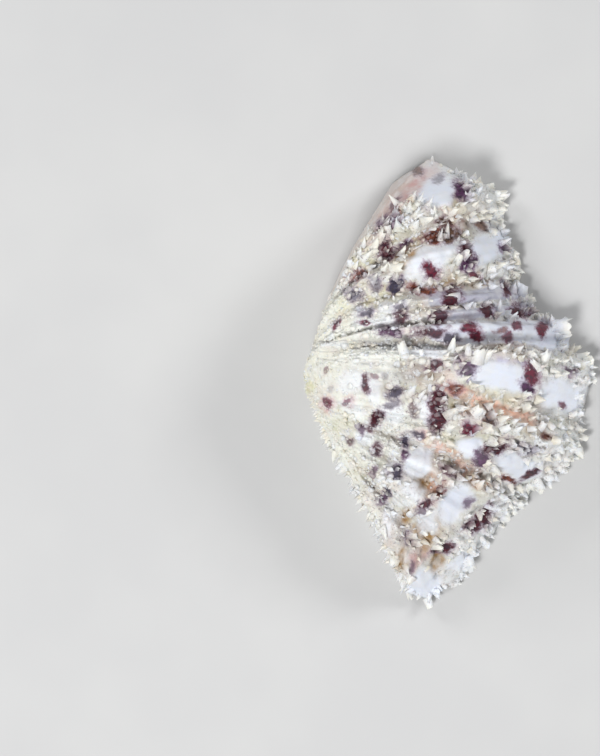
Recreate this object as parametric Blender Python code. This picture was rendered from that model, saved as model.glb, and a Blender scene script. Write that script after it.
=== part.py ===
"""One valve of a young bear paw clam, lying dome up on its open side.

The valve is one grown piece.  Its outer face is a fan of ribs and grooves that
starts at the umbo on the hinge line and ends at the toothed free margin.  Each
rib or groove is one cubic curve in plan, drawn from the umbo, and rises over
the dome and falls to the margin.  The outer face, the inner face and the rim
between them are lofted through these curves.

Units are millimetres up to the point where the mesh is made, then metres.
+Z is up, +Y runs along the valve to its hinge end, and +X points from the
umbo to the free margin.
"""

import math

import bmesh
import bpy
import numpy as np

OBJECT_NAME = "bear_paw_clam_valve"
NODE_NAME = "left_valve"

# Where the umbo lies from the middle of the finished valve's box.
UMBO_X = -31.71
UMBO_Y = -2.40

# The dome: where along a rib it is highest, and how round it is on each side.
CREST_AT = 0.60
UMBO_SIDE_POWER = 2.6
MARGIN_SIDE_POWER = 2.8

RELIEF = 2.2               # height of a full rib over the plain dome
RELIEF_GROWTH = 0.75       # how the ribs gain height from umbo to margin
MARGIN_LIFT_FROM = 0.80    # from here on ribs rise straight up, not outward
EDGE_ROWS = 2.0            # the ribs die out over this many rows at both ends of the fan

RIM_WIDTH = 2.2            # thickness of the free edge
HINGE_PLATE_WIDTH = 6.0
LUNULE_WALL = 3.2
WALL = 4.4                 # thickness at the top of the dome
SIDE_INSET = 1.5           # half way up, the cavity is set in this much more
INNER_FOLDS = 0.9          # the ribs seen from inside, as a share of the outer ones
INNER_FOLD_GROWTH = 1.4
CAVITY_START = (7.5, 2.0)  # the cavity's own corner, behind the hinge plate
CAVITY_BEND = 0.55         # the cavity's first bends, as a share of the outer ones
HINGE_PLATE_ROWS = 3.0     # rows of the fan from the hinge plate to the plain rim
LUNULE_WALL_ROWS = 2.5
HINGE_CORNER_INWARD = (0.8, -0.6)
LUNULE_CORNER_INWARD = (0.63, 0.77)
CORNER_FROM = 1.0          # rows of the fan over which a corner turns into the margin
CORNER_TO = 2.0

SCALE_FROM = 0.34          # no scales stand nearer the umbo than this
SCALE_FULL_AT = 0.75       # from here on they have their full size
SCALE_SOFT_START = 0.1
SCALE_LEAST = 0.6          # size of a scale on the faintest rib, against a full one
SCALE_ROWS = 3             # mesh rows from one scale to the next
SCALE_HEIGHT = 2.0
SCALE_REACH = 1.4          # how far a scale leans out over the next one
LEDGE_HEIGHT = 0.45        # growth step under each row of scales

OUTER_ROWS = 48
INNER_ROWS = 12
COLUMNS_PER_RIB = 2
ROW_CROWDING = 0.85        # below 1, the rows of the mesh crowd to the margin
SLOPE_STEP = 0.004         # the step over which a slope of the dome is taken
SLOPE_FROM = 0.03          # nearer the umbo the slopes stay as they are here
EDGE_STEP = 0.7            # rows of the fan over which the margin's direction is taken
SHARP_ANGLE = 50.0
MM = 0.001

# The ribs and grooves in order, from the hinge line to the lunule.
# first bend, second bend and margin end in plan from the umbo, dome height,
# then relief: 1 is a full rib, -1 a full groove.
FAN = (
    ("hinge line", (6.2, 15.7), (12.5, 31.5), (18.7, 47.2), 0.0, -0.2),
    ("posterior edge", (0.5, 11.5), (5.0, 27.6), (19.4, 47.9), 9.0, 0.0),
    ("posterior fold", (0.0, 15.0), (10.4, 38.0), (25.8, 51.8), 14.0, 0.2),
    ("posterior groove", (0.0, 16.6), (13.4, 42.6), (28.6, 52.3), 17.0, -0.4),
    ("rib A top", (0.0, 18.0), (16.6, 46.1), (39.2, 46.5), 20.5, 0.6),
    ("rib A", (-0.5, 18.4), (17.5, 43.8), (44.2, 41.9), 22.0, 1.0),
    ("groove AB", (-0.9, 19.6), (15.2, 36.9), (43.3, 38.2), 23.0, -1.2),
    ("rib B", (-1.8, 19.6), (14.3, 30.6), (45.4, 33.2), 24.5, 1.0),
    ("rib B low", (-2.3, 18.9), (14.3, 26.5), (47.9, 27.6), 25.5, 0.4),
    ("groove BC", (-2.8, 18.0), (14.3, 24.2), (47.5, 24.7), 26.0, -0.8),
    ("rib C", (-3.7, 16.6), (14.3, 20.3), (48.8, 21.9), 26.7, 0.5),
    ("groove CD", (-4.1, 15.7), (14.3, 18.4), (50.0, 20.0), 27.0, -0.5),
    ("rib D", (-4.6, 14.7), (14.3, 16.8), (51.1, 18.2), 27.3, 0.4),
    ("groove DE", (-5.1, 14.3), (14.3, 15.2), (52.8, 16.4), 27.6, -0.6),
    ("rib E", (-6.0, 13.8), (14.7, 13.8), (59.0, 13.4), 28.0, 0.9),
    ("groove EF", (-6.9, 12.0), (18.0, 11.5), (59.7, 9.0), 28.3, -1.2),
    ("rib F top", (-7.0, 9.2), (20.3, 11.5), (65.0, 4.6), 28.5, 0.5),
    ("rib F", (-7.0, 6.4), (21.2, 10.1), (62.9, -1.6), 28.5, 1.2),
    ("groove FG", (-7.4, 2.4), (25.3, 1.2), (62.4, -8.3), 28.0, -0.8),
    ("rib G top", (-6.9, -0.9), (25.8, -5.1), (62.2, -13.6), 27.0, 0.5),
    ("groove in G", (-5.5, -2.5), (25.8, -7.6), (57.6, -18.0), 26.0, -0.3),
    ("rib G", (-4.4, -3.7), (25.3, -9.2), (53.7, -21.0), 25.0, 0.9),
    ("groove GH", (-3.2, -4.6), (23.0, -12.0), (47.9, -24.2), 24.0, -0.8),
    ("rib H", (-2.3, -5.3), (21.2, -15.2), (47.2, -28.1), 23.0, 1.0),
    ("groove HI", (-1.4, -5.8), (19.8, -18.0), (42.9, -31.3), 21.5, -0.7),
    ("rib I", (-0.7, -6.2), (18.9, -21.2), (37.1, -37.8), 20.0, 0.9),
    ("rib I low", (-0.2, -6.5), (18.2, -23.5), (35.9, -41.9), 19.0, 0.2),
    ("groove IJ", (0.1, -6.8), (17.5, -24.7), (30.2, -45.6), 18.0, -0.7),
    ("rib J", (0.2, -7.0), (16.6, -25.3), (26.7, -48.2), 17.0, 0.8),
    ("keel", (0.2, -7.0), (15.2, -24.4), (22.6, -46.8), 13.0, 0.2),
    ("lunule edge", (4.4, -5.8), (15.4, -22.6), (22.6, -46.1), 0.0, -0.2),
)

FIRST_BEND = np.array([row[1] for row in FAN])
SECOND_BEND = np.array([row[2] for row in FAN])
MARGIN = np.array([row[3] for row in FAN])
DOME = np.array([row[4] for row in FAN])
RIBS = np.array([row[5] for row in FAN])
LAST = len(FAN) - 1

SHELL_COLOUR = (0.67, 0.66, 0.60, 1.0)
SHELL_ROUGHNESS = 0.55


def smooth_step(low, high, value):
    """0 below low, 1 above high, and a smooth rise between them."""
    share = np.clip((value - low) / (high - low), 0.0, 1.0)
    return share * share * (3.0 - 2.0 * share)


def along_fan(table, across):
    """A smooth curve through the rows of a table, read at the place across the fan."""
    across = np.asarray(across, dtype=float)
    cell = np.clip(np.floor(across).astype(int), 0, LAST - 1)
    share = across - cell
    before = table[np.clip(cell - 1, 0, LAST)]
    start = table[cell]
    end = table[cell + 1]
    after = table[np.clip(cell + 2, 0, LAST)]
    if table.ndim > 1:
        share = share[..., None]
    curve = 2.0 * start + (end - before) * share
    curve += (2.0 * before - 5.0 * start + 4.0 * end - after) * share ** 2
    curve += (3.0 * start - before - 3.0 * end + after) * share ** 3
    return 0.5 * curve


def dome_profile(growth):
    """Height along a rib as a share of the dome: 0 at the umbo and at the margin."""
    umbo_side = np.clip((CREST_AT - growth) / CREST_AT, 0.0, 1.0)
    margin_side = np.clip((growth - CREST_AT) / (1.0 - CREST_AT), 0.0, 1.0)
    return 1.0 - umbo_side ** UMBO_SIDE_POWER - margin_side ** MARGIN_SIDE_POWER


def plan_curve(start, first, second, end, growth):
    """A cubic curve in plan from the umbo to the margin."""
    growth = growth[..., None]
    rest = 1.0 - growth
    curve = start * rest ** 3 + 3.0 * first * rest ** 2 * growth
    return curve + 3.0 * second * rest * growth ** 2 + end * growth ** 3


def edge_share(across):
    """0 on the hinge line and the lunule edge, 1 over the fan between them."""
    return smooth_step(0.0, EDGE_ROWS, across) * smooth_step(0.0, EDGE_ROWS, LAST - across)


def margin_height(across):
    """How high the free edge stands: it arches over each rib."""
    ribs = along_fan(RIBS, across)
    return RELIEF * np.maximum(ribs + 1.0, 0.0) * 0.5 * edge_share(across)


def outer_dome(growth, across):
    """The outer face without its ribs."""
    plan = plan_curve(
        np.zeros(2),
        along_fan(FIRST_BEND, across),
        along_fan(SECOND_BEND, across),
        along_fan(MARGIN, across),
        growth,
    )
    height = along_fan(DOME, across) * dome_profile(growth)
    return np.concatenate([plan, height[..., None]], axis=-1)


def outward(growth, across):
    """The outward normal of the plain dome."""
    step = SLOPE_STEP
    growth = np.clip(growth, SLOPE_FROM, 1.0 - step)
    across = np.clip(across, step, LAST - step)
    along_rib = outer_dome(growth + step, across) - outer_dome(growth - step, across)
    over_ribs = outer_dome(growth, across + step) - outer_dome(growth, across - step)
    normal = np.cross(over_ribs, along_rib)
    return normal / np.maximum(np.linalg.norm(normal, axis=-1, keepdims=True), 1e-9)


def outer_face(growth, across):
    """The outer face with its ribs, which arch up at the free margin."""
    upright = smooth_step(MARGIN_LIFT_FROM, 1.0, growth)
    ribs = along_fan(RIBS, across) * edge_share(across)
    size = RELIEF * growth ** RELIEF_GROWTH * ribs * (1.0 - upright)
    face = outer_dome(growth, across) + outward(growth, across) * size[..., None]
    face[..., 2] += margin_height(across) * upright
    return face


def margin_inward(across):
    """The direction in plan from the edge into the shell, square to the margin."""
    ahead = along_fan(MARGIN, np.clip(across + EDGE_STEP, 0.0, LAST))
    behind = along_fan(MARGIN, np.clip(across - EDGE_STEP, 0.0, LAST))
    edge = ahead - behind
    edge /= np.linalg.norm(edge, axis=-1, keepdims=True)
    inward = np.stack([edge[..., 1], -edge[..., 0]], axis=-1)
    at_hinge = 1.0 - smooth_step(CORNER_FROM, CORNER_TO, across)[..., None]
    at_lunule = 1.0 - smooth_step(CORNER_FROM, CORNER_TO, LAST - across)[..., None]
    inward += (np.array(HINGE_CORNER_INWARD) - inward) * at_hinge
    return inward + (np.array(LUNULE_CORNER_INWARD) - inward) * at_lunule


def inner_face(growth, across):
    """The inner face: a lower dome inside the rim, with soft folds at the margin."""
    start = np.array(CAVITY_START)
    hinge_part = 1.0 - smooth_step(0.0, HINGE_PLATE_ROWS, across)
    lunule_part = smooth_step(LAST - LUNULE_WALL_ROWS, float(LAST), across)
    inset = RIM_WIDTH + (HINGE_PLATE_WIDTH - RIM_WIDTH) * hinge_part
    inset = inset + (LUNULE_WALL - RIM_WIDTH) * lunule_part
    shift = margin_inward(across) * inset[..., None]
    first = start + CAVITY_BEND * along_fan(FIRST_BEND, across)
    second = along_fan(SECOND_BEND, across) + SIDE_INSET * shift
    end = along_fan(MARGIN, across) + shift
    plan = plan_curve(start, first, second, end, growth)
    height = np.maximum(along_fan(DOME, across) - WALL, 0.0) * dome_profile(growth)
    face = np.concatenate([plan, height[..., None]], axis=-1)
    upright = smooth_step(MARGIN_LIFT_FROM, 1.0, growth)
    ribs = along_fan(RIBS, across) * edge_share(across)
    folds = INNER_FOLDS * RELIEF * growth ** INNER_FOLD_GROWTH * ribs * (1.0 - upright)
    face += outward(growth, across) * folds[..., None]
    face[..., 2] += margin_height(across) * upright
    return face


def add_scales(face, growths, acrosses):
    """Pulls the rib crests out into rows of scales, with a growth step under each row."""
    rows, columns = face.shape[:2]
    ribs = along_fan(RIBS, acrosses)
    normal = outward(growths[:, None] + 0.0 * acrosses, acrosses + 0.0 * growths[:, None])
    for row in range(2, rows - 1):
        if growths[row] < SCALE_FROM:
            continue
        size = smooth_step(SCALE_FROM - SCALE_SOFT_START, SCALE_FULL_AT, growths[row])
        way_out = face[row + 1] - face[row - 1]
        way_out /= np.linalg.norm(way_out, axis=-1, keepdims=True)
        for column in range(2, columns - 1):
            fan_place = acrosses[column]
            on_crest = abs(fan_place - round(fan_place)) < 1e-6 and ribs[column] > 0.1
            rib_number = int(round(fan_place))
            in_row = (row + rib_number) % SCALE_ROWS == 0
            if in_row:
                face[row, column] += normal[row, column] * LEDGE_HEIGHT * size
            if in_row and on_crest:
                reach = size * (SCALE_LEAST + (1.0 - SCALE_LEAST) * ribs[column])
                face[row, column] += normal[row, column] * SCALE_HEIGHT * reach
                face[row, column] += way_out[column] * SCALE_REACH * reach


def growth_rows(count):
    """Places of the mesh rows from just off the umbo to the margin."""
    share = np.arange(1, count + 1) / count
    return share ** ROW_CROWDING


def zip_rows(first, second):
    """Triangles between two rows of vertices that start and end together."""
    faces = []
    place = 0
    other = 0
    while place < len(first) - 1 or other < len(second) - 1:
        next_first = (place + 1) / (len(first) - 1)
        next_second = (other + 1) / (len(second) - 1)
        if next_first <= next_second + 1e-9:
            faces.append((first[place], first[place + 1], second[other]))
            place += 1
        else:
            faces.append((first[place], second[other + 1], second[other]))
            other += 1
    return faces


def grid_faces(first_index, rows, columns, pole):
    """Quads over a grid of vertices, closed by a fan of triangles at its pole."""
    faces = []
    for column in range(columns - 1):
        faces.append((pole, first_index + column + 1, first_index + column))
        for row in range(rows - 1):
            corner = first_index + row * columns + column
            faces.append((corner, corner + 1, corner + 1 + columns, corner + columns))
    return faces


def boundary(first_index, rows, columns, pole):
    """The three open sides of a grid: hinge side, margin and lunule side."""
    hinge = [pole] + [first_index + row * columns for row in range(rows)]
    margin = [first_index + (rows - 1) * columns + column for column in range(columns)]
    lunule = [pole] + [first_index + row * columns + columns - 1 for row in range(rows)]
    return hinge, margin, lunule


def valve_mesh():
    """The closed mesh of the valve, in metres about its own origin."""
    acrosses = np.linspace(0.0, LAST, LAST * COLUMNS_PER_RIB + 1)
    columns = len(acrosses)
    outer_growth = growth_rows(OUTER_ROWS)
    inner_growth = growth_rows(INNER_ROWS)
    across_grid, growth_grid = np.meshgrid(acrosses, outer_growth)
    outer = outer_face(growth_grid, across_grid)
    add_scales(outer, outer_growth, acrosses)
    across_grid, growth_grid = np.meshgrid(acrosses, inner_growth)
    inner = inner_face(growth_grid, across_grid)

    outer_pole = 0
    inner_pole = 1
    outer_start = 2
    inner_start = outer_start + OUTER_ROWS * columns
    points = np.concatenate([
        [(0.0, 0.0, 0.0), (*CAVITY_START, 0.0)],
        outer.reshape(-1, 3),
        inner.reshape(-1, 3),
    ])
    points += np.array([UMBO_X, UMBO_Y, 0.0])

    faces = grid_faces(outer_start, OUTER_ROWS, columns, outer_pole)
    inside = grid_faces(inner_start, INNER_ROWS, columns, inner_pole)
    faces += [tuple(reversed(face)) for face in inside]
    outer_sides = boundary(outer_start, OUTER_ROWS, columns, outer_pole)
    inner_sides = boundary(inner_start, INNER_ROWS, columns, inner_pole)
    faces.append((outer_pole, outer_sides[0][1], inner_pole))
    faces.append((outer_pole, inner_pole, outer_sides[2][1]))
    faces += zip_rows(outer_sides[0][1:], [inner_pole] + inner_sides[0][1:])
    faces += [tuple(reversed(f)) for f in zip_rows(outer_sides[2][1:], inner_sides[2])]
    for column in range(columns - 1):
        faces.append((
            outer_sides[1][column],
            outer_sides[1][column + 1],
            inner_sides[1][column + 1],
            inner_sides[1][column],
        ))
    mesh = bpy.data.meshes.new(NODE_NAME)
    mesh.from_pydata((points * MM).tolist(), [], faces)
    shell = bmesh.new()
    shell.from_mesh(mesh)
    bmesh.ops.recalc_face_normals(shell, faces=shell.faces)
    bmesh.ops.triangulate(shell, faces=shell.faces)
    shell.to_mesh(mesh)
    shell.free()
    mesh.shade_smooth()
    mesh.set_sharp_from_angle(angle=math.radians(SHARP_ANGLE))
    return mesh


def shell_material():
    """Cream white, slightly glossy shell."""
    material = bpy.data.materials.new("shell")
    material.use_nodes = True
    shader = material.node_tree.nodes["Principled BSDF"]
    shader.inputs["Base Color"].default_value = SHELL_COLOUR
    shader.inputs["Roughness"].default_value = SHELL_ROUGHNESS
    shader.inputs["Metallic"].default_value = 0.0
    material.diffuse_color = SHELL_COLOUR
    return material


def clear_scene():
    """Removes whatever the file starts with."""
    for thing in list(bpy.data.objects):
        bpy.data.objects.remove(thing, do_unlink=True)


def main():
    clear_scene()
    collection = bpy.data.collections.new(OBJECT_NAME)
    bpy.context.scene.collection.children.link(collection)
    valve = bpy.data.objects.new(NODE_NAME, valve_mesh())
    valve.data.materials.append(shell_material())
    collection.objects.link(valve)


main()
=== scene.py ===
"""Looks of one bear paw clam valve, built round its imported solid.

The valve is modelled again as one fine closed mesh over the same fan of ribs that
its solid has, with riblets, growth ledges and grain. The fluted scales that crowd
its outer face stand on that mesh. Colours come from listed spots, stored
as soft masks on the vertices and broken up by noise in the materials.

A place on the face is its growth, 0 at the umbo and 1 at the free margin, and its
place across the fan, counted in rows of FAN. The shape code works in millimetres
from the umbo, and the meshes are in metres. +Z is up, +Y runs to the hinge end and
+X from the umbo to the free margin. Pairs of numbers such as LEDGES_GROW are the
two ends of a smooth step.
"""

import math

import bmesh
import bpy
import numpy as np
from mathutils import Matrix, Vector


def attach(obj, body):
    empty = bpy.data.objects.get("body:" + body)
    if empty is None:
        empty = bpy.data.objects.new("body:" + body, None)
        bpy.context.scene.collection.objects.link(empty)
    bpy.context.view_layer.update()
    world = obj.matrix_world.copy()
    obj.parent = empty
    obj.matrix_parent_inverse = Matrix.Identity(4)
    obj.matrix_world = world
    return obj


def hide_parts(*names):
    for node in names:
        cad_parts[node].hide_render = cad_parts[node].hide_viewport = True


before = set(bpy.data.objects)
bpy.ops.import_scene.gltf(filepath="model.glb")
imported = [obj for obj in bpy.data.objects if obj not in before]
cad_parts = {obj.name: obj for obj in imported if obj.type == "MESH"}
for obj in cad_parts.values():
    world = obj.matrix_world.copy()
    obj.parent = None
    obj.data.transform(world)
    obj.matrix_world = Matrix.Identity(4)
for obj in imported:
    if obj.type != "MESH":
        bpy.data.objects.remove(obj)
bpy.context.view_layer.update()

NODE = "left_valve"
BODY = "root"
MM = 0.001
SEED = 11

# The solid's own shape
UMBO = np.array([-31.71, -2.40, 0.0])   # from the middle of the valve's box
UP = np.array([0.0, 0.0, 1.0])
CREST_AT = 0.60            # growth where the dome is highest
UMBO_SIDE_POWER = 2.6
MARGIN_SIDE_POWER = 2.8
RELIEF = 2.2               # height of a full rib over the plain dome
RELIEF_GROWTH = 0.75
YOUNG_RELIEF = 0.35        # worn down near the umbo to this share
FULL_RELIEF = (0.15, 0.55)
DIRECTION_STEP = 0.004     # how far apart two places are that give a direction
DIRECTION_FROM = 0.03
MARGIN_STEP = 0.7          # the same along the margin, in rows of the fan
MARGIN_LIFT_FROM = 0.80
RIM_WIDTH = 2.2
HINGE_PLATE_WIDTH = 6.0
LUNULE_WALL = 3.2
WALL = 4.4
SIDE_INSET = 1.5
INNER_FOLDS = 0.9
INNER_FOLD_GROWTH = 1.4
CAVITY_START = (7.5, 2.0)
CAVITY_BEND = 0.55         # the cavity's first bends, as a share of the outer ones
HINGE_CORNER_INWARD = (0.8, -0.6)
LUNULE_CORNER_INWARD = (0.63, 0.77)

# The ribs and grooves in order, from the hinge line to the lunule: first bend, second
# bend and margin end in plan from the umbo, dome height, then relief, where 1 is a full
# rib and -1 a full groove.
FAN = (
    ("hinge line", (6.2, 15.7), (12.5, 31.5), (18.7, 47.2), 0.0, -0.2),
    ("posterior edge", (0.5, 11.5), (5.0, 27.6), (19.4, 47.9), 9.0, 0.0),
    ("posterior fold", (0.0, 15.0), (10.4, 38.0), (25.8, 51.8), 14.0, 0.2),
    ("posterior groove", (0.0, 16.6), (13.4, 42.6), (28.6, 52.3), 17.0, -0.4),
    ("rib A top", (0.0, 18.0), (16.6, 46.1), (39.2, 46.5), 20.5, 0.6),
    ("rib A", (-0.5, 18.4), (17.5, 43.8), (44.2, 41.9), 22.0, 1.0),
    ("groove AB", (-0.9, 19.6), (15.2, 36.9), (43.3, 38.2), 23.0, -1.2),
    ("rib B", (-1.8, 19.6), (14.3, 30.6), (45.4, 33.2), 24.5, 1.0),
    ("rib B low", (-2.3, 18.9), (14.3, 26.5), (47.9, 27.6), 25.5, 0.4),
    ("groove BC", (-2.8, 18.0), (14.3, 24.2), (47.5, 24.7), 26.0, -0.8),
    ("rib C", (-3.7, 16.6), (14.3, 20.3), (48.8, 21.9), 26.7, 0.5),
    ("groove CD", (-4.1, 15.7), (14.3, 18.4), (50.0, 20.0), 27.0, -0.5),
    ("rib D", (-4.6, 14.7), (14.3, 16.8), (51.1, 18.2), 27.3, 0.4),
    ("groove DE", (-5.1, 14.3), (14.3, 15.2), (52.8, 16.4), 27.6, -0.6),
    ("rib E", (-6.0, 13.8), (14.7, 13.8), (59.0, 13.4), 28.0, 0.9),
    ("groove EF", (-6.9, 12.0), (18.0, 11.5), (59.7, 9.0), 28.3, -1.2),
    ("rib F top", (-7.0, 9.2), (20.3, 11.5), (65.0, 4.6), 28.5, 0.5),
    ("rib F", (-7.0, 6.4), (21.2, 10.1), (62.9, -1.6), 28.5, 1.2),
    ("groove FG", (-7.4, 2.4), (25.3, 1.2), (62.4, -8.3), 28.0, -0.8),
    ("rib G top", (-6.9, -0.9), (25.8, -5.1), (62.2, -13.6), 27.0, 0.5),
    ("groove in G", (-5.5, -2.5), (25.8, -7.6), (57.6, -18.0), 26.0, -0.3),
    ("rib G", (-4.4, -3.7), (25.3, -9.2), (53.7, -21.0), 25.0, 0.9),
    ("groove GH", (-3.2, -4.6), (23.0, -12.0), (47.9, -24.2), 24.0, -0.8),
    ("rib H", (-2.3, -5.3), (21.2, -15.2), (47.2, -28.1), 23.0, 1.0),
    ("groove HI", (-1.4, -5.8), (19.8, -18.0), (42.9, -31.3), 21.5, -0.7),
    ("rib I", (-0.7, -6.2), (18.9, -21.2), (37.1, -37.8), 20.0, 0.9),
    ("rib I low", (-0.2, -6.5), (18.2, -23.5), (35.9, -41.9), 19.0, 0.2),
    ("groove IJ", (0.1, -6.8), (17.5, -24.7), (30.2, -45.6), 18.0, -0.7),
    ("rib J", (0.2, -7.0), (16.6, -25.3), (26.7, -48.2), 17.0, 0.8),
    ("keel", (0.2, -7.0), (15.2, -24.4), (22.6, -46.8), 13.0, 0.2),
    ("lunule edge", (4.4, -5.8), (15.4, -22.6), (22.6, -46.1), 0.0, -0.2),
)
FIRST_BEND, SECOND_BEND, MARGIN, DOME, RIBS = (
    np.array([row[place] for row in FAN]) for place in range(1, 6)
)
LAST = len(FAN) - 1
KEEL = 29

# The fine mesh
OUTER_ROWS = 230
COLUMNS_PER_RIB = 11
INNER_ROWS = 50
INNER_COLUMNS_PER_RIB = 5
ROW_SPACING = 0.85         # below 1 the rows of the mesh lie closer near the margin

# Fine relief: heights and sizes in mm, and growths over which it comes or goes
FADE_IN = (0.0, 0.06)
SIDE_SHARE = 0.25          # what is left of it on the two sides of the fan
RIBLET_PITCH = 2.3         # from riblet to riblet near the margin
COUNTED_AT = 0.85          # the growth where the pitch is measured
RIBLET_HEIGHT = 0.55
RIBLETS_DOUBLE = (0.30, 0.55)
YOUNG_RIBLET = 0.22        # height of the riblets near the umbo, as a share
RIBLET_WOBBLE = 0.14
RIBLET_WOBBLE_SIZE = 7.0
LEDGES = 24                # growth steps from umbo to margin
LEDGE_HEIGHT = 0.30
LEDGES_GROW = (0.2, 0.6)
LEDGE_WOBBLE = 0.35
LEDGE_WOBBLE_SIZE = 9.0
ROUGH_FROM = (0.22, 0.55)
LUMP_SIZE = 2.1
LUMP_HEIGHT = 0.42
GRAIN_SIZE = 0.85
GRAIN_HEIGHT = 0.22
FURROW_DEPTH = 0.3
PIT_DEPTH = 0.9
YOUNG_FILL = 0.5           # what fills the grooves between the ribs near the umbo
YOUNG_FILL_UP_TO = (0.75, 0.32)
CRUST_SIZE = 1.1           # the nodules of the umbonal third
CRUST_HEIGHT = 0.55
CRUST_FROM = (0.05, 0.12)
CRUST_UP_TO = (0.60, 0.35)
KNOLL_SIZE = 4.4           # the broad unevenness that the scales stand on
KNOLL_HEIGHT = 0.9
NOISE_BLOCK = 32

# Marks inside the cavity
SCAR_MIDDLE = (2.0, 4.0)   # the muscle's scar, from the middle of the box
SCAR_HALF = (6.0, 8.5)
SCAR_LINE_AT = 0.84        # growth where the line of the mantle runs
SCAR_LINE_WIDTH = 0.018

# The photograph's frame
PHOTO_WIDTH = 600
PHOTO_HEIGHT = 756
MM_PER_PIXEL = 0.2304
MIDDLE_COLUMN = 449.0      # the pixel where the middle of the valve's box falls
MIDDLE_ROW = 379.0


def from_photo(column, row):
    """A pixel of the photograph as a place in plan, in mm from the middle of the box."""
    return np.array([(column - MIDDLE_COLUMN) * MM_PER_PIXEL, (MIDDLE_ROW - row) * MM_PER_PIXEL])


# Colours of the ground, linear
CREAM = (0.78, 0.77, 0.67)
OUTER_WHITE = (0.80, 0.81, 0.76)
PATCH_WHITE = (0.80, 0.84, 0.94)
# The smooth strips' lilac white, darkened as painted shade.
STRIP_LILAC_PAINTED_SHADE = (0.46, 0.46, 0.56)
EDGE_WHITE = (0.82, 0.85, 0.89)
WARM_SCALE = (0.84, 0.74, 0.54)
COOL_SCALE = (0.68, 0.72, 0.86)
# Painted shade of the furrows.
FURROW_SHADE_GREY = (0.30, 0.29, 0.31)
GROOVE_TAN = (0.33, 0.29, 0.25)
PIT_OCHRE = (0.34, 0.19, 0.055)
CREVICE_STAIN_AND_SHADE = (0.30, 0.20, 0.13)   # the hollows between scales: real stain, darkened further as painted shade
GAP_TINTS = (                  # and what tints them here and there, each with its noise
    ((0.60, 0.30, 0.19), 20),
    ((0.32, 0.20, 0.27), 21),
    ((0.42, 0.37, 0.16), 22),
)
GAP_TINT_SIZE = 4.5

# Colours of the blotches
MAROON = (0.080, 0.006, 0.016)
PURPLE = (0.085, 0.018, 0.080)
NAVY = (0.030, 0.024, 0.060)
RUST = (0.200, 0.050, 0.022)
BROWN = (0.140, 0.065, 0.030)
MAGENTA = (0.150, 0.008, 0.030)
SLATE = (0.170, 0.160, 0.200)

# Colours of the washes
# A real lilac tint, used also as painted shade on the upper edges of the patches of ribs A and F.
LILAC_TINT_AND_SHADE = (0.48, 0.45, 0.62)
PINK = (0.60, 0.29, 0.29)
SALMON = (0.56, 0.29, 0.19)
CORAL = (0.82, 0.46, 0.33)
OCHRE = (0.42, 0.26, 0.09)
OLIVE = (0.42, 0.42, 0.20)
BEIGE = (0.62, 0.52, 0.47)
# Painted shade along grooves.
SHADE_GREY = (0.36, 0.36, 0.36)
YELLOW = (0.70, 0.68, 0.36)

# Where the ground changes colour: growths, rows of the fan or heights
WHITE_FROM = (0.20, 0.70)
VALLEY_FROM = (0.30, 0.60)
VALLEY_RIBS = (0.0, -1.0)
HOLLOW_RISE = (0.40, -0.45)
EDGE_FROM = (0.86, 0.97)
POSTERIOR_STRIP = (3.2, 2.4)   # the beige strip behind the ribs, in rows of the fan
POSTERIOR_FROM = (0.30, 0.45)
LIT_STRIP = (12.9, 13.4)       # rows of the fan past which a smooth strip turns back to the lit white, while the others keep painted shade
BARE_STRIP = (3.9, 3.1)
BARE_STRIP_FROM = (0.30, 0.50)
BELOW_KEEL = (0.2, 0.6)        # past the keel, in rows of the fan

# Smooth white patches without scales:
# column, row, half length and half width in mm, turn in degrees, strength.
SMOOTH_PATCHES = (
    (436, 192, 4.8, 3.4, 30, 1.0),
    (486, 248, 5.0, 3.2, 12, 1.0),
    (430, 258, 7.0, 3.0, 28, 0.8),
    (418, 272, 4.0, 2.2, 15, 0.5),
    (498, 377, 8.8, 3.2, -11, 1.0),
    (562, 395, 5.4, 3.4, -22, 0.9),
    (430, 352, 4.5, 1.3, -4, 0.6),
    (350, 380, 3.0, 3.0, 0, 0.45),
    (373, 391, 2.0, 3.0, 0, 0.45),
    (363, 438, 2.4, 2.0, -30, 0.5),
    (388, 309, 2.8, 1.5, 8, 0.45),
    (336, 346, 2.6, 0.8, 0, 0.35),
    (392, 412, 3.0, 2.6, -20, 0.45),
    (352, 408, 3.6, 1.6, -30, 0.4),
    (380, 322, 6.0, 1.0, 8, 0.4),
    (425, 410, 1.6, 3.0, 10, 0.5),
    (470, 447, 3.2, 2.2, -20, 0.9),
    (515, 465, 5.6, 2.6, -22, 0.9),
    (418, 460, 2.8, 3.4, -50, 0.7),
    (455, 503, 3.2, 5.2, -30, 0.9),
    (411, 490, 2.8, 2.4, -50, 0.55),
    (425, 585, 3.8, 3.2, -40, 0.9),
    (456, 563, 3.0, 1.3, 38, 0.7),
    (403, 497, 2.4, 2.6, -20, 0.4),
    (427, 521, 2.2, 3.2, -30, 0.5),
    (495, 329, 10.0, 1.3, -8, 0.85),
    (546, 345, 5.5, 1.1, -8, 0.85),
    (388, 520, 1.2, 4.0, 0, 0.5),
)

# Smooth strips along ribs: first and last row of the fan, where they start in growth.
SMOOTH_STRIPS = (
    (9.45, 10.55, 0.74),
    (11.35, 12.60, 0.76),
    (13.30, 14.75, 0.68),
)

# Thin furrows between old ribs, cut in and darkened with painted shade, as pixels of both ends and a half
# width in mm.
FURROWS = (
    ((318, 341), (362, 343), 0.14),
    ((362, 343), (400, 346), 0.17),
    ((396, 345), (452, 350), 0.30),
    ((340, 333), (400, 330), 0.05),
    ((313, 352), (360, 350), 0.07),
    ((318, 359), (380, 364), 0.06),
    ((380, 364), (420, 372), 0.08),
    ((372, 372), (412, 381), 0.07),
    ((455, 294), (492, 291), 0.14),
    ((446, 306), (520, 304), 0.28),
    ((455, 321), (530, 324), 0.28),
    ((462, 324), (548, 341), 0.07),
    ((480, 337), (540, 342), 0.07),
)

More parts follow.
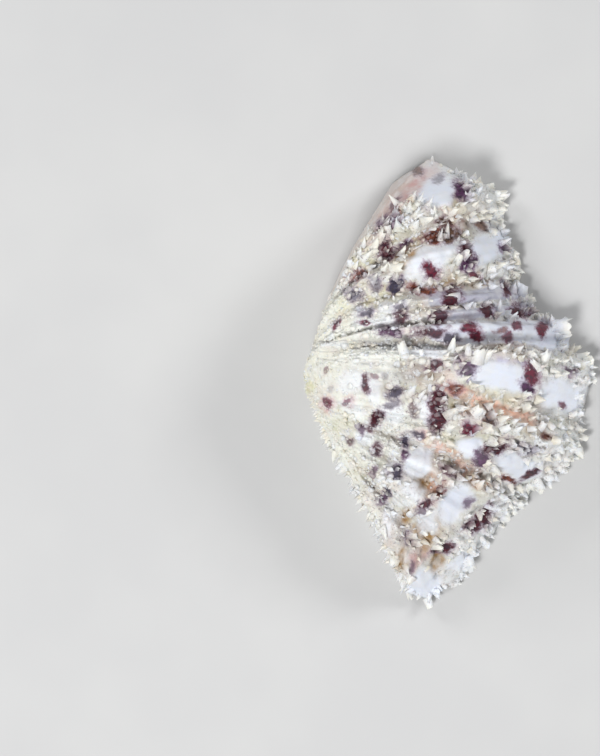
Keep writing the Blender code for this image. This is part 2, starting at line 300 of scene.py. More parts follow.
# Small stained pits: column, row, half length, half width and turn.
PITS = (
    (406, 513, 1.2, 2.2, -20),
    (425, 539, 1.2, 2.2, -20),
    (401, 556, 1.1, 2.4, -10),
    (437, 560, 1.5, 2.1, -20),
    (421, 481, 1.2, 2.4, -20),
    (545, 433, 1.5, 1.1, -20),
    (479, 227, 1.2, 1.0, 0),
)

# Soft washes of colour: column, row, half length, half width, turn, colour, strength.
WASHES = (
    (484, 402, 7.0, 3.2, -25, CREAM, 0.8),
    (510, 436, 8.0, 3.6, -22, CREAM, 0.8),
    (391, 210, 2.4, 8.5, -30, PINK, 1.0),
    (376, 228, 1.6, 9.0, -30, BEIGE, 0.8),
    (405, 180, 2.6, 5.0, -38, BEIGE, 0.8),
    (420, 184, 1.3, 6.5, -42, PINK, 0.8),
    (432, 176, 1.2, 5.0, -42, SALMON, 0.5),
    # Painted shade on the upper right of rib A's patch.
    (447, 196, 2.2, 2.4, 0, LILAC_TINT_AND_SHADE, 0.6),
    (412, 250, 6.0, 1.7, 35, OCHRE, 0.9),
    (455, 225, 7.0, 1.8, 22, RUST, 0.75),
    (440, 232, 4.0, 1.6, 22, SALMON, 0.7),
    (474, 222, 2.6, 1.4, 15, BROWN, 0.5),
    (455, 285, 7.0, 1.5, 5, OCHRE, 0.6),
    (470, 277, 3.0, 1.2, 0, OLIVE, 0.6),
    # The grey washes are painted shade along the grooves.
    (470, 297, 7.0, 0.9, -6, SHADE_GREY, 0.6),
    (480, 318, 7.5, 0.9, -10, SHADE_GREY, 0.6),
    (395, 346, 13.0, 0.8, 0, SHADE_GREY, 0.75),
    (505, 352, 10.5, 1.5, -4, BROWN, 0.45),
    (545, 356, 5.0, 1.6, -12, BROWN, 0.4),
    (552, 362, 2.6, 1.4, 50, OLIVE, 0.7),
    # Painted shade along the upper edge of rib F's patch.
    (497, 362, 9.0, 1.3, -8, LILAC_TINT_AND_SHADE, 0.85),
    (455, 389, 4.4, 1.5, -12, SALMON, 1.0),
    (472, 400, 4.8, 1.6, -20, CORAL, 1.0),
    (495, 411, 4.8, 1.6, -14, CORAL, 0.95),
    (521, 418, 4.2, 1.6, -14, CORAL, 0.9),
    (530, 430, 3.0, 1.2, -18, OCHRE, 0.7),
    (558, 420, 3.5, 1.8, -20, OLIVE, 0.6),
    (568, 446, 2.5, 2.0, -20, OLIVE, 0.5),
    (430, 440, 3.6, 1.4, -38, CORAL, 0.8),
    (452, 455, 5.5, 1.4, -34, CORAL, 0.8),
    (475, 475, 4.5, 1.4, -38, CORAL, 0.8),
    (487, 490, 3.0, 1.2, -36, SALMON, 0.6),
    (406, 513, 1.5, 2.4, -20, OCHRE, 0.9),
    (425, 539, 1.5, 2.4, -20, OCHRE, 0.9),
    (401, 556, 1.3, 2.2, -10, OCHRE, 0.8),
    (437, 560, 1.5, 2.0, -20, OCHRE, 0.8),
    (421, 481, 1.5, 2.0, -30, OCHRE, 0.8),
    (416, 530, 1.2, 2.2, -20, OCHRE, 0.8),
    (440, 522, 1.4, 3.4, -30, OCHRE, 0.6),
    (545, 433, 1.8, 1.4, -20, OCHRE, 0.8),
    (389, 520, 1.4, 5.0, -8, BEIGE, 0.8),
    (414, 552, 3.4, 4.6, -15, BEIGE, 0.6),
    (352, 297, 2.2, 1.6, 0, LILAC_TINT_AND_SHADE, 0.6),
    (365, 313, 2.2, 1.4, 0, LILAC_TINT_AND_SHADE, 0.6),
    (372, 295, 3.6, 2.4, 20, YELLOW, 0.5),
    (362, 262, 3.0, 2.4, 40, YELLOW, 0.5),
    (345, 310, 2.6, 2.4, 40, YELLOW, 0.35),
    (306, 388, 1.6, 2.6, 0, YELLOW, 0.6),
    (415, 372, 5.0, 1.8, -10, BROWN, 0.6),
    (408, 388, 3.0, 1.6, 0, OLIVE, 0.6),
    (425, 380, 3.0, 2.0, -20, CREVICE_STAIN_AND_SHADE, 0.7),
    (389, 465, 1.4, 2.4, -30, LILAC_TINT_AND_SHADE, 0.7),
    (417, 557, 1.4, 2.6, -15, PINK, 0.6),
    (452, 547, 1.4, 1.8, -20, PINK, 0.6),
    (524, 343, 3.6, 1.0, -10, PINK, 0.6),
    (507, 340, 2.0, 0.9, -10, PINK, 0.7),
    (326, 403, 1.8, 2.2, 0, PINK, 0.7),
    (349, 402, 1.6, 1.2, 0, PINK, 0.7),
    (340, 430, 3.0, 3.0, -40, OLIVE, 0.35),
    (365, 470, 3.6, 3.0, -50, OLIVE, 0.35),
    (397, 503, 2.4, 3.0, -20, OLIVE, 0.4),
)

# Crisp dark blotches: column, row, half length, half width, turn, colour, strength.
BLOTCH_SPREAD = 0.06       # how much wider each is than its row says
BLOTCHES = (
    (461, 193, 1.3, 2.0, 20, PURPLE, 1.0),
    (439, 179, 1.5, 1.0, 30, SLATE, 0.5),
    (384, 251, 1.6, 2.0, 25, MAROON, 1.0),
    (358, 276, 2.0, 1.1, 20, RUST, 0.9),
    (395, 285, 1.6, 1.4, 0, NAVY, 1.0),
    (374, 285, 1.2, 1.8, 0, SLATE, 0.7),
    (352, 297, 1.8, 1.4, -30, SLATE, 0.9),
    (430, 272, 1.8, 1.3, -20, MAGENTA, 1.0),
    (464, 250, 1.3, 1.9, 25, MAROON, 1.0),
    (466, 263, 1.5, 2.0, -5, PURPLE, 1.0),
    (473, 274, 1.2, 0.9, -20, MAGENTA, 0.9),
    (504, 252, 1.0, 1.3, 25, PURPLE, 0.9),
    (403, 246, 1.8, 0.7, 20, PURPLE, 0.8),
    (443, 224, 1.4, 0.8, 20, BROWN, 0.9),
    (448, 235, 2.0, 1.2, 20, BROWN, 1.0),
    (432, 236, 2.4, 0.9, 25, RUST, 1.0),
    (479, 227, 1.0, 0.8, 0, BROWN, 0.6),
    (420, 291, 2.4, 1.0, 0, RUST, 1.0),
    (450, 299, 2.0, 1.9, 35, MAROON, 1.0),
    (504, 290, 0.8, 2.0, 15, MAROON, 1.0),
    (489, 311, 1.8, 1.2, -35, MAROON, 1.0),
    (519, 310, 1.8, 1.0, -35, MAROON, 1.0),
    (365, 324, 0.9, 0.55, 0, MAGENTA, 0.9),
    (366, 312, 1.4, 0.7, 45, SLATE, 0.9),
    (400, 308, 1.6, 0.8, 0, SLATE, 0.8),
    (336, 326, 0.9, 0.4, 60, MAGENTA, 0.9),
    (401, 317, 1.6, 1.3, 20, MAROON, 0.9),
    (436, 317, 1.6, 1.3, 30, MAROON, 0.9),
    (389, 331, 2.4, 1.0, 0, PURPLE, 0.9),
    (430, 333, 3.2, 1.0, 0, MAROON, 0.9),
    (468, 326, 1.2, 1.2, 30, MAGENTA, 1.0),
    (475, 334, 1.4, 1.1, -20, MAGENTA, 1.0),
    (514, 327, 1.3, 0.9, -30, MAGENTA, 0.9),
    (541, 329, 1.0, 1.5, 10, MAGENTA, 1.0),
    (507, 340, 1.2, 1.0, 0, MAGENTA, 0.8),
    (450, 341, 1.8, 0.9, 0, NAVY, 0.8),
    (328, 368, 1.0, 0.35, 60, MAGENTA, 0.5),
    (330, 388, 0.8, 0.5, 0, SLATE, 0.3),
    (346, 402, 1.2, 0.4, 20, MAGENTA, 0.6),
    (326, 403, 0.7, 1.4, 15, MAGENTA, 0.8),
    (363, 383, 0.8, 1.6, 0, MAROON, 0.9),
    (372, 378, 0.8, 0.5, 0, MAGENTA, 0.5),
    (384, 376, 0.9, 0.5, 0, SLATE, 0.35),
    (396, 391, 1.7, 1.2, 20, NAVY, 0.85),
    (392, 403, 2.0, 0.8, 10, SLATE, 0.7),
    (431, 367, 1.6, 1.2, 10, MAROON, 0.9),
    (464, 367, 1.6, 2.2, 25, PURPLE, 0.8),
    (531, 375, 1.3, 2.2, 30, MAGENTA, 0.95),
    (526, 387, 1.3, 2.0, 30, PURPLE, 0.95),
    (455, 389, 1.8, 1.1, -10, RUST, 0.9),
    (436, 404, 1.6, 2.6, 0, MAROON, 1.0),
    (437, 418, 1.9, 2.2, 0, MAROON, 1.0),
    (414, 408, 0.7, 1.2, 0, MAROON, 0.6),
    (376, 419, 1.3, 2.3, -35, MAROON, 1.0),
    (559, 405, 0.7, 0.6, 0, MAGENTA, 0.8),
    (570, 372, 1.4, 0.8, -20, PURPLE, 0.8),
    (405, 440, 1.0, 1.4, -10, NAVY, 0.9),
    (405, 455, 1.1, 1.3, -10, PURPLE, 0.9),
    (419, 434, 2.2, 0.8, -20, NAVY, 0.8),
    (468, 428, 1.0, 1.0, 0, MAGENTA, 1.0),
    (487, 425, 1.6, 1.3, -10, BROWN, 0.9),
    (377, 449, 1.0, 1.2, -30, MAROON, 0.9),
    (347, 443, 0.8, 0.9, 0, MAROON, 0.7),
    (361, 430, 1.0, 1.2, -30, PURPLE, 0.7),
    (495, 448, 2.7, 1.1, 22, MAROON, 1.0),
    (479, 458, 1.3, 1.3, 0, PURPLE, 0.9),
    (525, 449, 2.0, 1.0, -10, SLATE, 0.9),
    (528, 473, 2.1, 0.75, 28, MAROON, 1.0),
    (507, 479, 1.2, 0.6, -10, RUST, 1.0),
    (447, 473, 1.8, 1.0, -20, MAROON, 0.9),
    (439, 489, 0.8, 1.9, -10, RUST, 0.9),
    (467, 503, 0.7, 1.2, -10, PURPLE, 0.7),
    (473, 527, 2.0, 1.2, 45, MAROON, 1.0),
    (484, 515, 2.2, 1.0, 62, MAROON, 1.0),
    (425, 503, 1.8, 1.0, 20, MAROON, 0.95),
    (386, 490, 1.2, 1.0, -30, NAVY, 0.9),
    (382, 500, 1.0, 1.2, -30, PURPLE, 0.9),
    (398, 471, 1.3, 1.4, -30, NAVY, 0.9),
    (371, 470, 1.0, 1.0, -30, PURPLE, 0.7),
    (440, 548, 2.3, 1.1, 20, MAROON, 1.0),
    (420, 512, 1.0, 1.0, 0, PURPLE, 0.6),
    (410, 566, 0.9, 1.1, 0, PURPLE, 0.6),
    (405, 537, 0.9, 1.1, 0, PURPLE, 0.5),
    (392, 222, 1.1, 1.2, 0, PURPLE, 0.8),
    (395, 206, 0.8, 1.6, -30, MAROON, 0.6),
    (381, 222, 0.8, 2.0, -30, PURPLE, 0.7),
    (418, 172, 1.4, 1.2, -40, BROWN, 0.7),
    (499, 334, 1.0, 0.6, 0, RUST, 0.7),
    (545, 433, 0.9, 0.7, 0, RUST, 0.8),
)

# Scales, in mm
SCALE_PITCH_UMBO = 1.3     # from scale to scale along a riblet, near the umbo
SCALE_PITCH_MARGIN = 3.7
SCALE_LENGTH_UMBO = 0.7
SCALE_LENGTH_MARGIN = 3.7
SCALE_THICK = 0.55
SCALE_SUNK = 0.30
SCALE_UPTURN = 0.85        # how far the scales of the dome turn to the hinge end
CLEARANCE = 0.4            # scales keep this far from the smooth patches
FRINGE_REACH = 34.8        # no fringe scale reaches further from the middle of the box
CALM_FROM = -24.0          # below here in plan the scales stand further apart
CALM_FULL = -31.0
TALL_SCALE = 1.35          # what the lengths of TEETH are multiplied by
TALL_LIFT = 32.0           # degrees from the face at their tips
CRUMBS = 2600
BEADS = 2600               # fine round grains of the umbonal third
LUMPS = 900                # rough lumps between the scales of the rest
GROOVE_BEADS = 320
DEEP_GROOVES = (6.0, 15.0)     # the rows of the fan that they lie in
BEAD_RADIUS = 0.26
LUMP_RADIUS = 0.55
YOUNG_WITHIN = 15.0        # plan distance from the umbo without scales
YOUNG_UP_TO = 25.0         # and where they stand as close as elsewhere
FULL_SCALES_FROM = 46.0
ROW_START = (2.0, 4.0)     # where the first scale of a row stands
ROW_END = 0.6              # and how near the margin the last one may stand
SCALE_SPREADS = (0.05, 0.12, 0.3, 0.7)     # how wide a tip is against its foot
TWIN_SHARE = 0.35          # how many scales of a row have a smaller one beside them
TWINS_FROM = 0.4           # the growth from where on they have
KEEL_SPIKES = 64
LIFTED_FOOT = 8.0          # degrees from the face at the foot of a scale
SHARP_FOLD = 55.0          # degrees
RAGGED_EDGE = (-0.32, 0.12)    # how much a corner of a scale's edge falls short or juts out
RAGGED_MIDDLE = (1.0, 1.2)
BOW = 0.10                 # sideways bend of a scale, as a share of its length
ARCH = 0.32                # height of its fold, as a share of its width
FULL_THICK = 2.2           # length from which a scale has the full thickness
TO_TAIL = np.array([0.0, -0.2, 0.0])   # how much the spikes of the keel turn from the hinge
LUMP_UNEVEN = 0.55
LUMP_STRETCH = (0.75, 1.35)
LUMP_FLAT = (1.0, 1.0, 0.65)
SCALE_RISE = 0.4           # scales are coloured as places that stand this high
SCALE_GLOSS = 0.4
LUMP_WHITENING = 0.5       # how little of the stains and of the painted shade of the hollows the lumps take
FLOOR_GAP = 0.02           # nothing on the valve comes nearer to the floor

# Scales that stand out one by one: column, row, length, width, turn of the tip from +X,
# and how wide the tip is against the foot.
TEETH = (
    (553, 329, 3.4, 3.9, 4, 1.0),
    (556, 325, 2.6, 2.4, 24, 0.5),
    (557, 334, 2.4, 2.8, -8, 0.5),
    (546, 320, 1.8, 1.6, 70, 0.4),
    (541, 318, 1.4, 1.4, 100, 0.5),
    (407, 397, 3.2, 2.8, 60, 0.15),
    (416, 402, 3.0, 1.8, 62, 0.15),
    (444, 418, 3.4, 3.0, 38, 0.15),
    (458, 298, 2.6, 2.4, 178, 0.3),
    (497, 312, 2.2, 1.8, 75, 0.2),
    (508, 323, 2.6, 1.7, 60, 0.3),
    (450, 353, 2.6, 2.2, 78, 0.4),
    (474, 364, 3.2, 3.5, 80, 0.8),
    (481, 361, 2.6, 2.4, 50, 0.4),
    (467, 361, 2.6, 2.4, 100, 0.4),
    (541, 366, 3.0, 2.6, 70, 0.4),
    (535, 370, 2.6, 2.4, 110, 0.6),
    (517, 361, 1.6, 1.2, 45, 0.2),
    (444, 240, 2.8, 1.8, 85, 0.15),
    (437, 243, 2.2, 1.4, 95, 0.15),
    (462, 283, 2.2, 1.6, 80, 0.3),
    (470, 281, 2.0, 1.4, 60, 0.3),
    (398, 206, 2.6, 1.8, 130, 0.15),
    (429, 391, 2.8, 1.6, 100, 0.15),
    (423, 383, 2.2, 1.4, 80, 0.15),
    (440, 391, 2.4, 1.8, 60, 0.4),
    (460, 378, 2.4, 1.8, 90, 0.3),
    (476, 402, 2.6, 2.0, 120, 0.3),
    (527, 402, 2.4, 1.8, 95, 0.5),
    (405, 356, 2.6, 2.6, 120, 0.7),
    (388, 340, 1.8, 1.4, 90, 0.6),
    (470, 396, 2.2, 2.0, 150, 0.2),
    (456, 420, 2.0, 1.8, 120, 0.3),
    (576, 342, 2.0, 2.0, 40, 0.4),
    (580, 352, 2.4, 2.2, 15, 0.5),
)

# Marks of the outer material that noise places: size in mm, detail, the noise values where
# one starts and is full, strength, colour, and the part of the shell that it keeps to.
MOTTLING = (
    (3.2, 3.0, 0.40, 0.66, 0.45, (0.80, 0.81, 0.82), "all"),
    (4.5, 3.0, 0.50, 0.66, 0.25, (0.70, 0.60, 0.55), "rough"),
    (1.5, 3.0, 0.50, 0.70, 0.40, (0.46, 0.44, 0.34), "rough_old"),
    (0.55, 2.0, 0.60, 0.70, 0.40, (0.22, 0.17, 0.14), "rough_old"),
)
PEPPER = (0.12, 0.05, 0.09)
WARM_TIP = (0.93, 0.91, 0.82)
COOL_TIP = (0.87, 0.90, 0.95)
HALO = (0.40, 0.27, 0.42)      # what the edge of a blotch fades through
BLOTCH_CORE = (0.016, 0.006, 0.018)

# Porcelain of the inner face, and the table
LINING_WHITE = (0.84, 0.83, 0.79)
LINING_CREAM = (0.80, 0.76, 0.68)
LINING_STREAK = (0.70, 0.66, 0.60)
SCAR_TAN = (0.60, 0.54, 0.44)
TABLE = ((0.56, 0.56, 0.56), (0.59, 0.59, 0.585))

# Camera, light and floor, in metres: name, place, size and power of each lamp
LAMPS = (
    ("key", (-0.25, -0.45, 0.85), 0.25, 7.2),
    ("left_fill", (-0.65, 0.55, 0.55), 0.35, 3.6),
    ("right_fill", (0.75, 0.40, 0.60), 0.30, 4.4),
)
SKY = (0.95, 0.97, 1.0, 1.0)
SKY_STRENGTH = 0.20
CAMERA_DISTANCE = 3.0
SENSOR = 36.0
FLOOR_SIZE = 8.0


# The shape of the solid
def smooth_step(low, high, value):
    """0 below low, 1 above high, and a smooth rise between them."""
    share = np.clip((value - low) / (high - low), 0.0, 1.0)
    return share * share * (3.0 - 2.0 * share)


def grown(growth, start, end):
    """A value that goes from its start at the umbo to its end at the margin."""
    return start + (end - start) * growth


def along_fan(table, across):
    """A smooth curve through the rows of a table, read at the place across the fan."""
    across = np.asarray(across, dtype=float)
    cell = np.clip(np.floor(across).astype(int), 0, LAST - 1)
    share = across - cell
    before = table[np.clip(cell - 1, 0, LAST)]
    start = table[cell]
    end = table[cell + 1]
    after = table[np.clip(cell + 2, 0, LAST)]
    if table.ndim > 1:
        share = share[..., None]
    curve = 2.0 * start + (end - before) * share
    curve += (2.0 * before - 5.0 * start + 4.0 * end - after) * share ** 2
    curve += (3.0 * start - before - 3.0 * end + after) * share ** 3
    return 0.5 * curve


def dome_profile(growth):
    """Height along a rib as a share of the dome: 0 at the umbo and at the margin."""
    umbo_side = np.clip((CREST_AT - growth) / CREST_AT, 0.0, 1.0)
    margin_side = np.clip((growth - CREST_AT) / (1.0 - CREST_AT), 0.0, 1.0)
    return 1.0 - umbo_side ** UMBO_SIDE_POWER - margin_side ** MARGIN_SIDE_POWER


def plan_curve(start, first, second, end, growth):
    """A cubic curve in plan from the umbo to the margin."""
    growth = growth[..., None]
    rest = 1.0 - growth
    curve = start * rest ** 3 + 3.0 * first * rest ** 2 * growth
    return curve + 3.0 * second * rest * growth ** 2 + end * growth ** 3


def edge_share(across):
    """0 on the hinge line and the lunule edge, 1 over the fan between them."""
    return smooth_step(0.0, 2.0, across) * smooth_step(0.0, 2.0, LAST - across)


def margin_height(across):
    """How high the free edge stands: it arches over each rib."""
    ribs = along_fan(RIBS, across)
    return RELIEF * np.maximum(ribs + 1.0, 0.0) * 0.5 * edge_share(across)


def outer_dome(growth, across):
    """The outer face without its ribs."""
    plan = plan_curve(
        np.zeros(2),
        along_fan(FIRST_BEND, across),
        along_fan(SECOND_BEND, across),
        along_fan(MARGIN, across),
        growth,
    )
    height = along_fan(DOME, across) * dome_profile(growth)
    return np.concatenate([plan, height[..., None]], axis=-1)


def unit(vectors):
    """The same vectors with length 1."""
    return vectors / np.maximum(np.linalg.norm(vectors, axis=-1, keepdims=True), 1e-9)


def dome_directions(growth, across):
    """Unit vectors on the plain dome: outward, and along the rib to the margin."""
    step = DIRECTION_STEP
    growth = np.clip(growth, DIRECTION_FROM, 1.0 - step)
    across = np.clip(across, step, LAST - step)
    along_rib = outer_dome(growth + step, across) - outer_dome(growth - step, across)
    over_ribs = outer_dome(growth, across + step) - outer_dome(growth, across - step)
    return unit(np.cross(over_ribs, along_rib)), unit(along_rib)


def ribbed_face(growth, across):
    """The outer face of the solid, and its outward directions."""
    upright = smooth_step(MARGIN_LIFT_FROM, 1.0, growth)
    ribs = along_fan(RIBS, across) * edge_share(across)
    size = RELIEF * growth ** RELIEF_GROWTH * ribs * (1.0 - upright)
    size = size * grown(smooth_step(*FULL_RELIEF, growth), YOUNG_RELIEF, 1.0)
    outward = dome_directions(growth, across)[0]
    face = outer_dome(growth, across) + outward * size[..., None]
    face[..., 2] += margin_height(across) * upright
    return face, outward


def margin_inward(across):
    """The direction in plan from the edge into the shell, square to the margin."""
    ahead = along_fan(MARGIN, np.clip(across + MARGIN_STEP, 0.0, LAST))
    behind = along_fan(MARGIN, np.clip(across - MARGIN_STEP, 0.0, LAST))
    edge = unit(ahead - behind)
    inward = np.stack([edge[..., 1], -edge[..., 0]], axis=-1)
    at_hinge = 1.0 - smooth_step(1.0, 2.0, across)[..., None]
    at_lunule = 1.0 - smooth_step(1.0, 2.0, LAST - across)[..., None]
    inward += (np.array(HINGE_CORNER_INWARD) - inward) * at_hinge
    return inward + (np.array(LUNULE_CORNER_INWARD) - inward) * at_lunule


def inner_face(growth, across):
    """The inner face: a lower dome inside the rim, with soft folds at the margin."""
    start = np.array(CAVITY_START)
    hinge_part = 1.0 - smooth_step(0.0, 3.0, across)
    lunule_part = smooth_step(LAST - 2.5, float(LAST), across)
    inset = RIM_WIDTH + (HINGE_PLATE_WIDTH - RIM_WIDTH) * hinge_part
    inset = inset + (LUNULE_WALL - RIM_WIDTH) * lunule_part
    shift = margin_inward(across) * inset[..., None]
    first = start + CAVITY_BEND * along_fan(FIRST_BEND, across)
    second = along_fan(SECOND_BEND, across) + SIDE_INSET * shift
    end = along_fan(MARGIN, across) + shift
    plan = plan_curve(start, first, second, end, growth)
    height = np.maximum(along_fan(DOME, across) - WALL, 0.0) * dome_profile(growth)
    face = np.concatenate([plan, height[..., None]], axis=-1)
    upright = smooth_step(MARGIN_LIFT_FROM, 1.0, growth)
    ribs = along_fan(RIBS, across) * edge_share(across)
    folds = INNER_FOLDS * RELIEF * growth ** INNER_FOLD_GROWTH * ribs * (1.0 - upright)
    face += dome_directions(growth, across)[0] * folds[..., None]
    face[..., 2] += margin_height(across) * upright
    return face


# Fine relief
def noise(place, size, number):
    """Smooth noise from -1 to 1 over places in mm, with features of that size.

    Each number gives another noise.
    """
    block = np.random.default_rng(SEED + number).uniform(-1.0, 1.0, (NOISE_BLOCK,) * 3)
    at = place / size
    corner = np.floor(at).astype(int)
    share = at - corner
    share = share * share * (3.0 - 2.0 * share)
    total = np.zeros(place.shape[:-1])
    for step in np.ndindex(2, 2, 2):
        near = np.where(step, share, 1.0 - share)
        near = near[..., 0] * near[..., 1] * near[..., 2]
        cell = (corner + step) % NOISE_BLOCK
        total += near * block[cell[..., 0], cell[..., 1], cell[..., 2]]
    return total


def flattened(plan):
    """Places or directions in plan as ones in space, level with the floor."""
    return np.concatenate([plan, np.zeros(plan.shape[:-1] + (1,))], axis=-1)


def push(plan, size, numbers, reach):
    """Shifts in plan, made by one noise of that size along X and one along Y."""
    flat = flattened(plan)
    return reach * np.stack([noise(flat, size, number) for number in numbers], axis=-1)


def warped(plan):
    """Plan places pushed about a little, so that spots get uneven edges."""
    return plan + push(plan, 3.1, (6, 7), 0.9) + push(plan, 1.2, (8, 9), 0.4)


def spot_depth(plan, spot):
    """1 in the middle of a spot, 0 on its edge, below 0 outside. plan is in mm from the box."""
    column, row, half_length, half_width, turn = spot[:5]
    away = plan - from_photo(column, row)
    cosine = math.cos(math.radians(turn))
    sine = math.sin(math.radians(turn))
    along = (away[..., 0] * cosine + away[..., 1] * sine) / half_length
    aside = (away[..., 1] * cosine - away[..., 0] * sine) / half_width
    return 1.0 - np.sqrt(along ** 2 + aside ** 2)


def strip_share(growth, across, plan):
    """1 on the smooth strips along some ribs, 0 beside them."""
    flat = flattened(plan)
    wavy = across + 0.16 * noise(flat, 5.0, 12)
    late = 0.06 * noise(flat, 3.0, 13)
    share = np.zeros(growth.shape)
    for first, last, start in SMOOTH_STRIPS:
        over = smooth_step(first - 0.15, first + 0.10, wavy) * smooth_step(last + 0.15, last - 0.10, wavy)
        share = np.maximum(share, over * smooth_step(-0.03, 0.03, growth - (start + late)))
    return share


def furrow_share(plan):
    """1 in the thin furrows between the old ribs, 0 beside them."""
    moved = plan + push(plan, 4.0, (14, 15), 0.5)
    share = np.zeros(plan.shape[:-1])
    for start, end, half_width in FURROWS:
        start = from_photo(*start)
        way = from_photo(*end) - start
        at = np.clip(np.sum((moved - start) * way, axis=-1) / np.sum(way * way), 0.0, 1.0)
        away = np.linalg.norm(moved - start - at[..., None] * way, axis=-1)
        share = np.maximum(share, smooth_step(1.9 * half_width, 0.4 * half_width, away))
    return share


def pit_share(plan):
    """1 in the small stained pits, 0 beside them."""
    moved = warped(plan)
    share = np.zeros(plan.shape[:-1])
    for pit in PITS:
        share = np.maximum(share, smooth_step(-0.15, 0.35, spot_depth(moved, pit)))
    return share


def white_share(plan, margin=0.0):
    """1 in the middle of the smooth white patches, 0 a margin in mm outside them."""
    moved = warped(plan)
    share = np.zeros(plan.shape[:-1])
    for patch in SMOOTH_PATCHES:
        column, row, half_length, half_width, turn, strength = patch
        wider = (column, row, half_length + margin, half_width + margin, turn)
        share = np.maximum(share, strength * smooth_step(-0.30, 0.32, spot_depth(moved, wider)))
    return share


def under_keel_share(across):
    """1 on the narrow steep face below the keel, 0 on the dome."""
    return smooth_step(KEEL + BELOW_KEEL[0], KEEL + BELOW_KEEL[1], across)


def bare_share(growth, across, plan, margin=0.0):
    """How smooth the shell is: 1 on the white patches, the strips and the steep faces."""
    behind = smooth_step(*BARE_STRIP, across) * smooth_step(*BARE_STRIP_FROM, growth)
    strips = np.maximum(0.9 * behind, 0.95 * strip_share(growth, across, plan))
    return np.maximum(np.maximum(white_share(plan, margin), strips), 0.9 * under_keel_share(across))


def lengths_along(line):
    """How long a line of points is up to each of them."""
    steps = np.linalg.norm(np.diff(line, axis=0), axis=1)
    return np.concatenate([[0.0], np.cumsum(steps)])


def riblet_table():
    """How many riblets lie before each of many places across the fan."""
    places = np.linspace(0.0, LAST, LAST * 20 + 1)
    line = outer_dome(np.full(places.shape, COUNTED_AT), places)
    return places, lengths_along(line) / RIBLET_PITCH


RIBLET_PLACES, RIBLET_COUNTS = riblet_table()


def fine_rise(growth, across, face):
    """Height of the riblets, ledges and grain over the ribbed face."""
    plan = face[..., :2] + UMBO[:2]
    bare = bare_share(growth, across, plan)
    fade = smooth_step(*FADE_IN, growth) * grown(edge_share(across), SIDE_SHARE, 1.0)
    wobble = RIBLET_WOBBLE * noise(face, RIBLET_WOBBLE_SIZE, 5)
    phase = np.interp(across, RIBLET_PLACES, RIBLET_COUNTS) + wobble
    late = smooth_step(*RIBLETS_DOUBLE, growth)
    few = 0.5 + 0.5 * np.cos(math.pi * phase)
    many = 0.5 + 0.5 * np.cos(2.0 * math.pi * phase)
    riblet = grown(late, few, many)
    rise = RIBLET_HEIGHT * grown(late, YOUNG_RIBLET, 1.0) * riblet * (1.0 - 0.7 * bare)
    step = growth * LEDGES + LEDGE_WOBBLE * noise(face, LEDGE_WOBBLE_SIZE, 1)
    ledge = (step - np.floor(step)) ** 2
    rise += LEDGE_HEIGHT * ledge * smooth_step(*LEDGES_GROW, growth) * (1.0 - 0.85 * bare)
    rough = (1.0 - 0.92 * bare) * smooth_step(*ROUGH_FROM, growth)
    rise += LUMP_HEIGHT * noise(face, LUMP_SIZE, 2) * rough
    rise += GRAIN_HEIGHT * noise(face, GRAIN_SIZE, 3) * (0.8 * (1.0 - bare) + 0.2 * rough)
    crust = smooth_step(*CRUST_FROM, growth) * smooth_step(*CRUST_UP_TO, growth) * (1.0 - 0.8 * bare)
    rise += CRUST_HEIGHT * np.abs(noise(face, CRUST_SIZE, 18)) * crust
    rise += KNOLL_HEIGHT * noise(face, KNOLL_SIZE, 17) * rough
    groove = smooth_step(0.2, -0.9, along_fan(RIBS, across))
    rise += YOUNG_FILL * groove * smooth_step(*YOUNG_FILL_UP_TO, growth)
    rise -= FURROW_DEPTH * furrow_share(plan)
    rise -= PIT_DEPTH * pit_share(plan)
    return rise * fade


def finished_face(growth, across):
    """The outer face with its fine relief, its outward directions and that relief."""
    face, outward = ribbed_face(growth, across)
    rise = fine_rise(growth, across, face)
    face = face + outward * rise[..., None]
    face[..., 2] = np.maximum(face[..., 2], 0.0)
    return face, outward, rise


# Colour masks
def blend_to(colour, other, share):
    """A colour moved towards another by a share at every vertex."""
    return colour + (np.array(other) - colour) * share[..., None]


def gap_stain_and_shade_colour(flat):
    """The floor between the scales: brown stain darkened as painted shade, in places salmon, mauve or
    olive.
    """
    colour = np.zeros(flat.shape) + np.array(CREVICE_STAIN_AND_SHADE)
    for tint, number in GAP_TINTS:
        colour = blend_to(colour, tint, 0.85 * smooth_step(0.05, 0.45, noise(flat, GAP_TINT_SIZE, number)))
    return colour


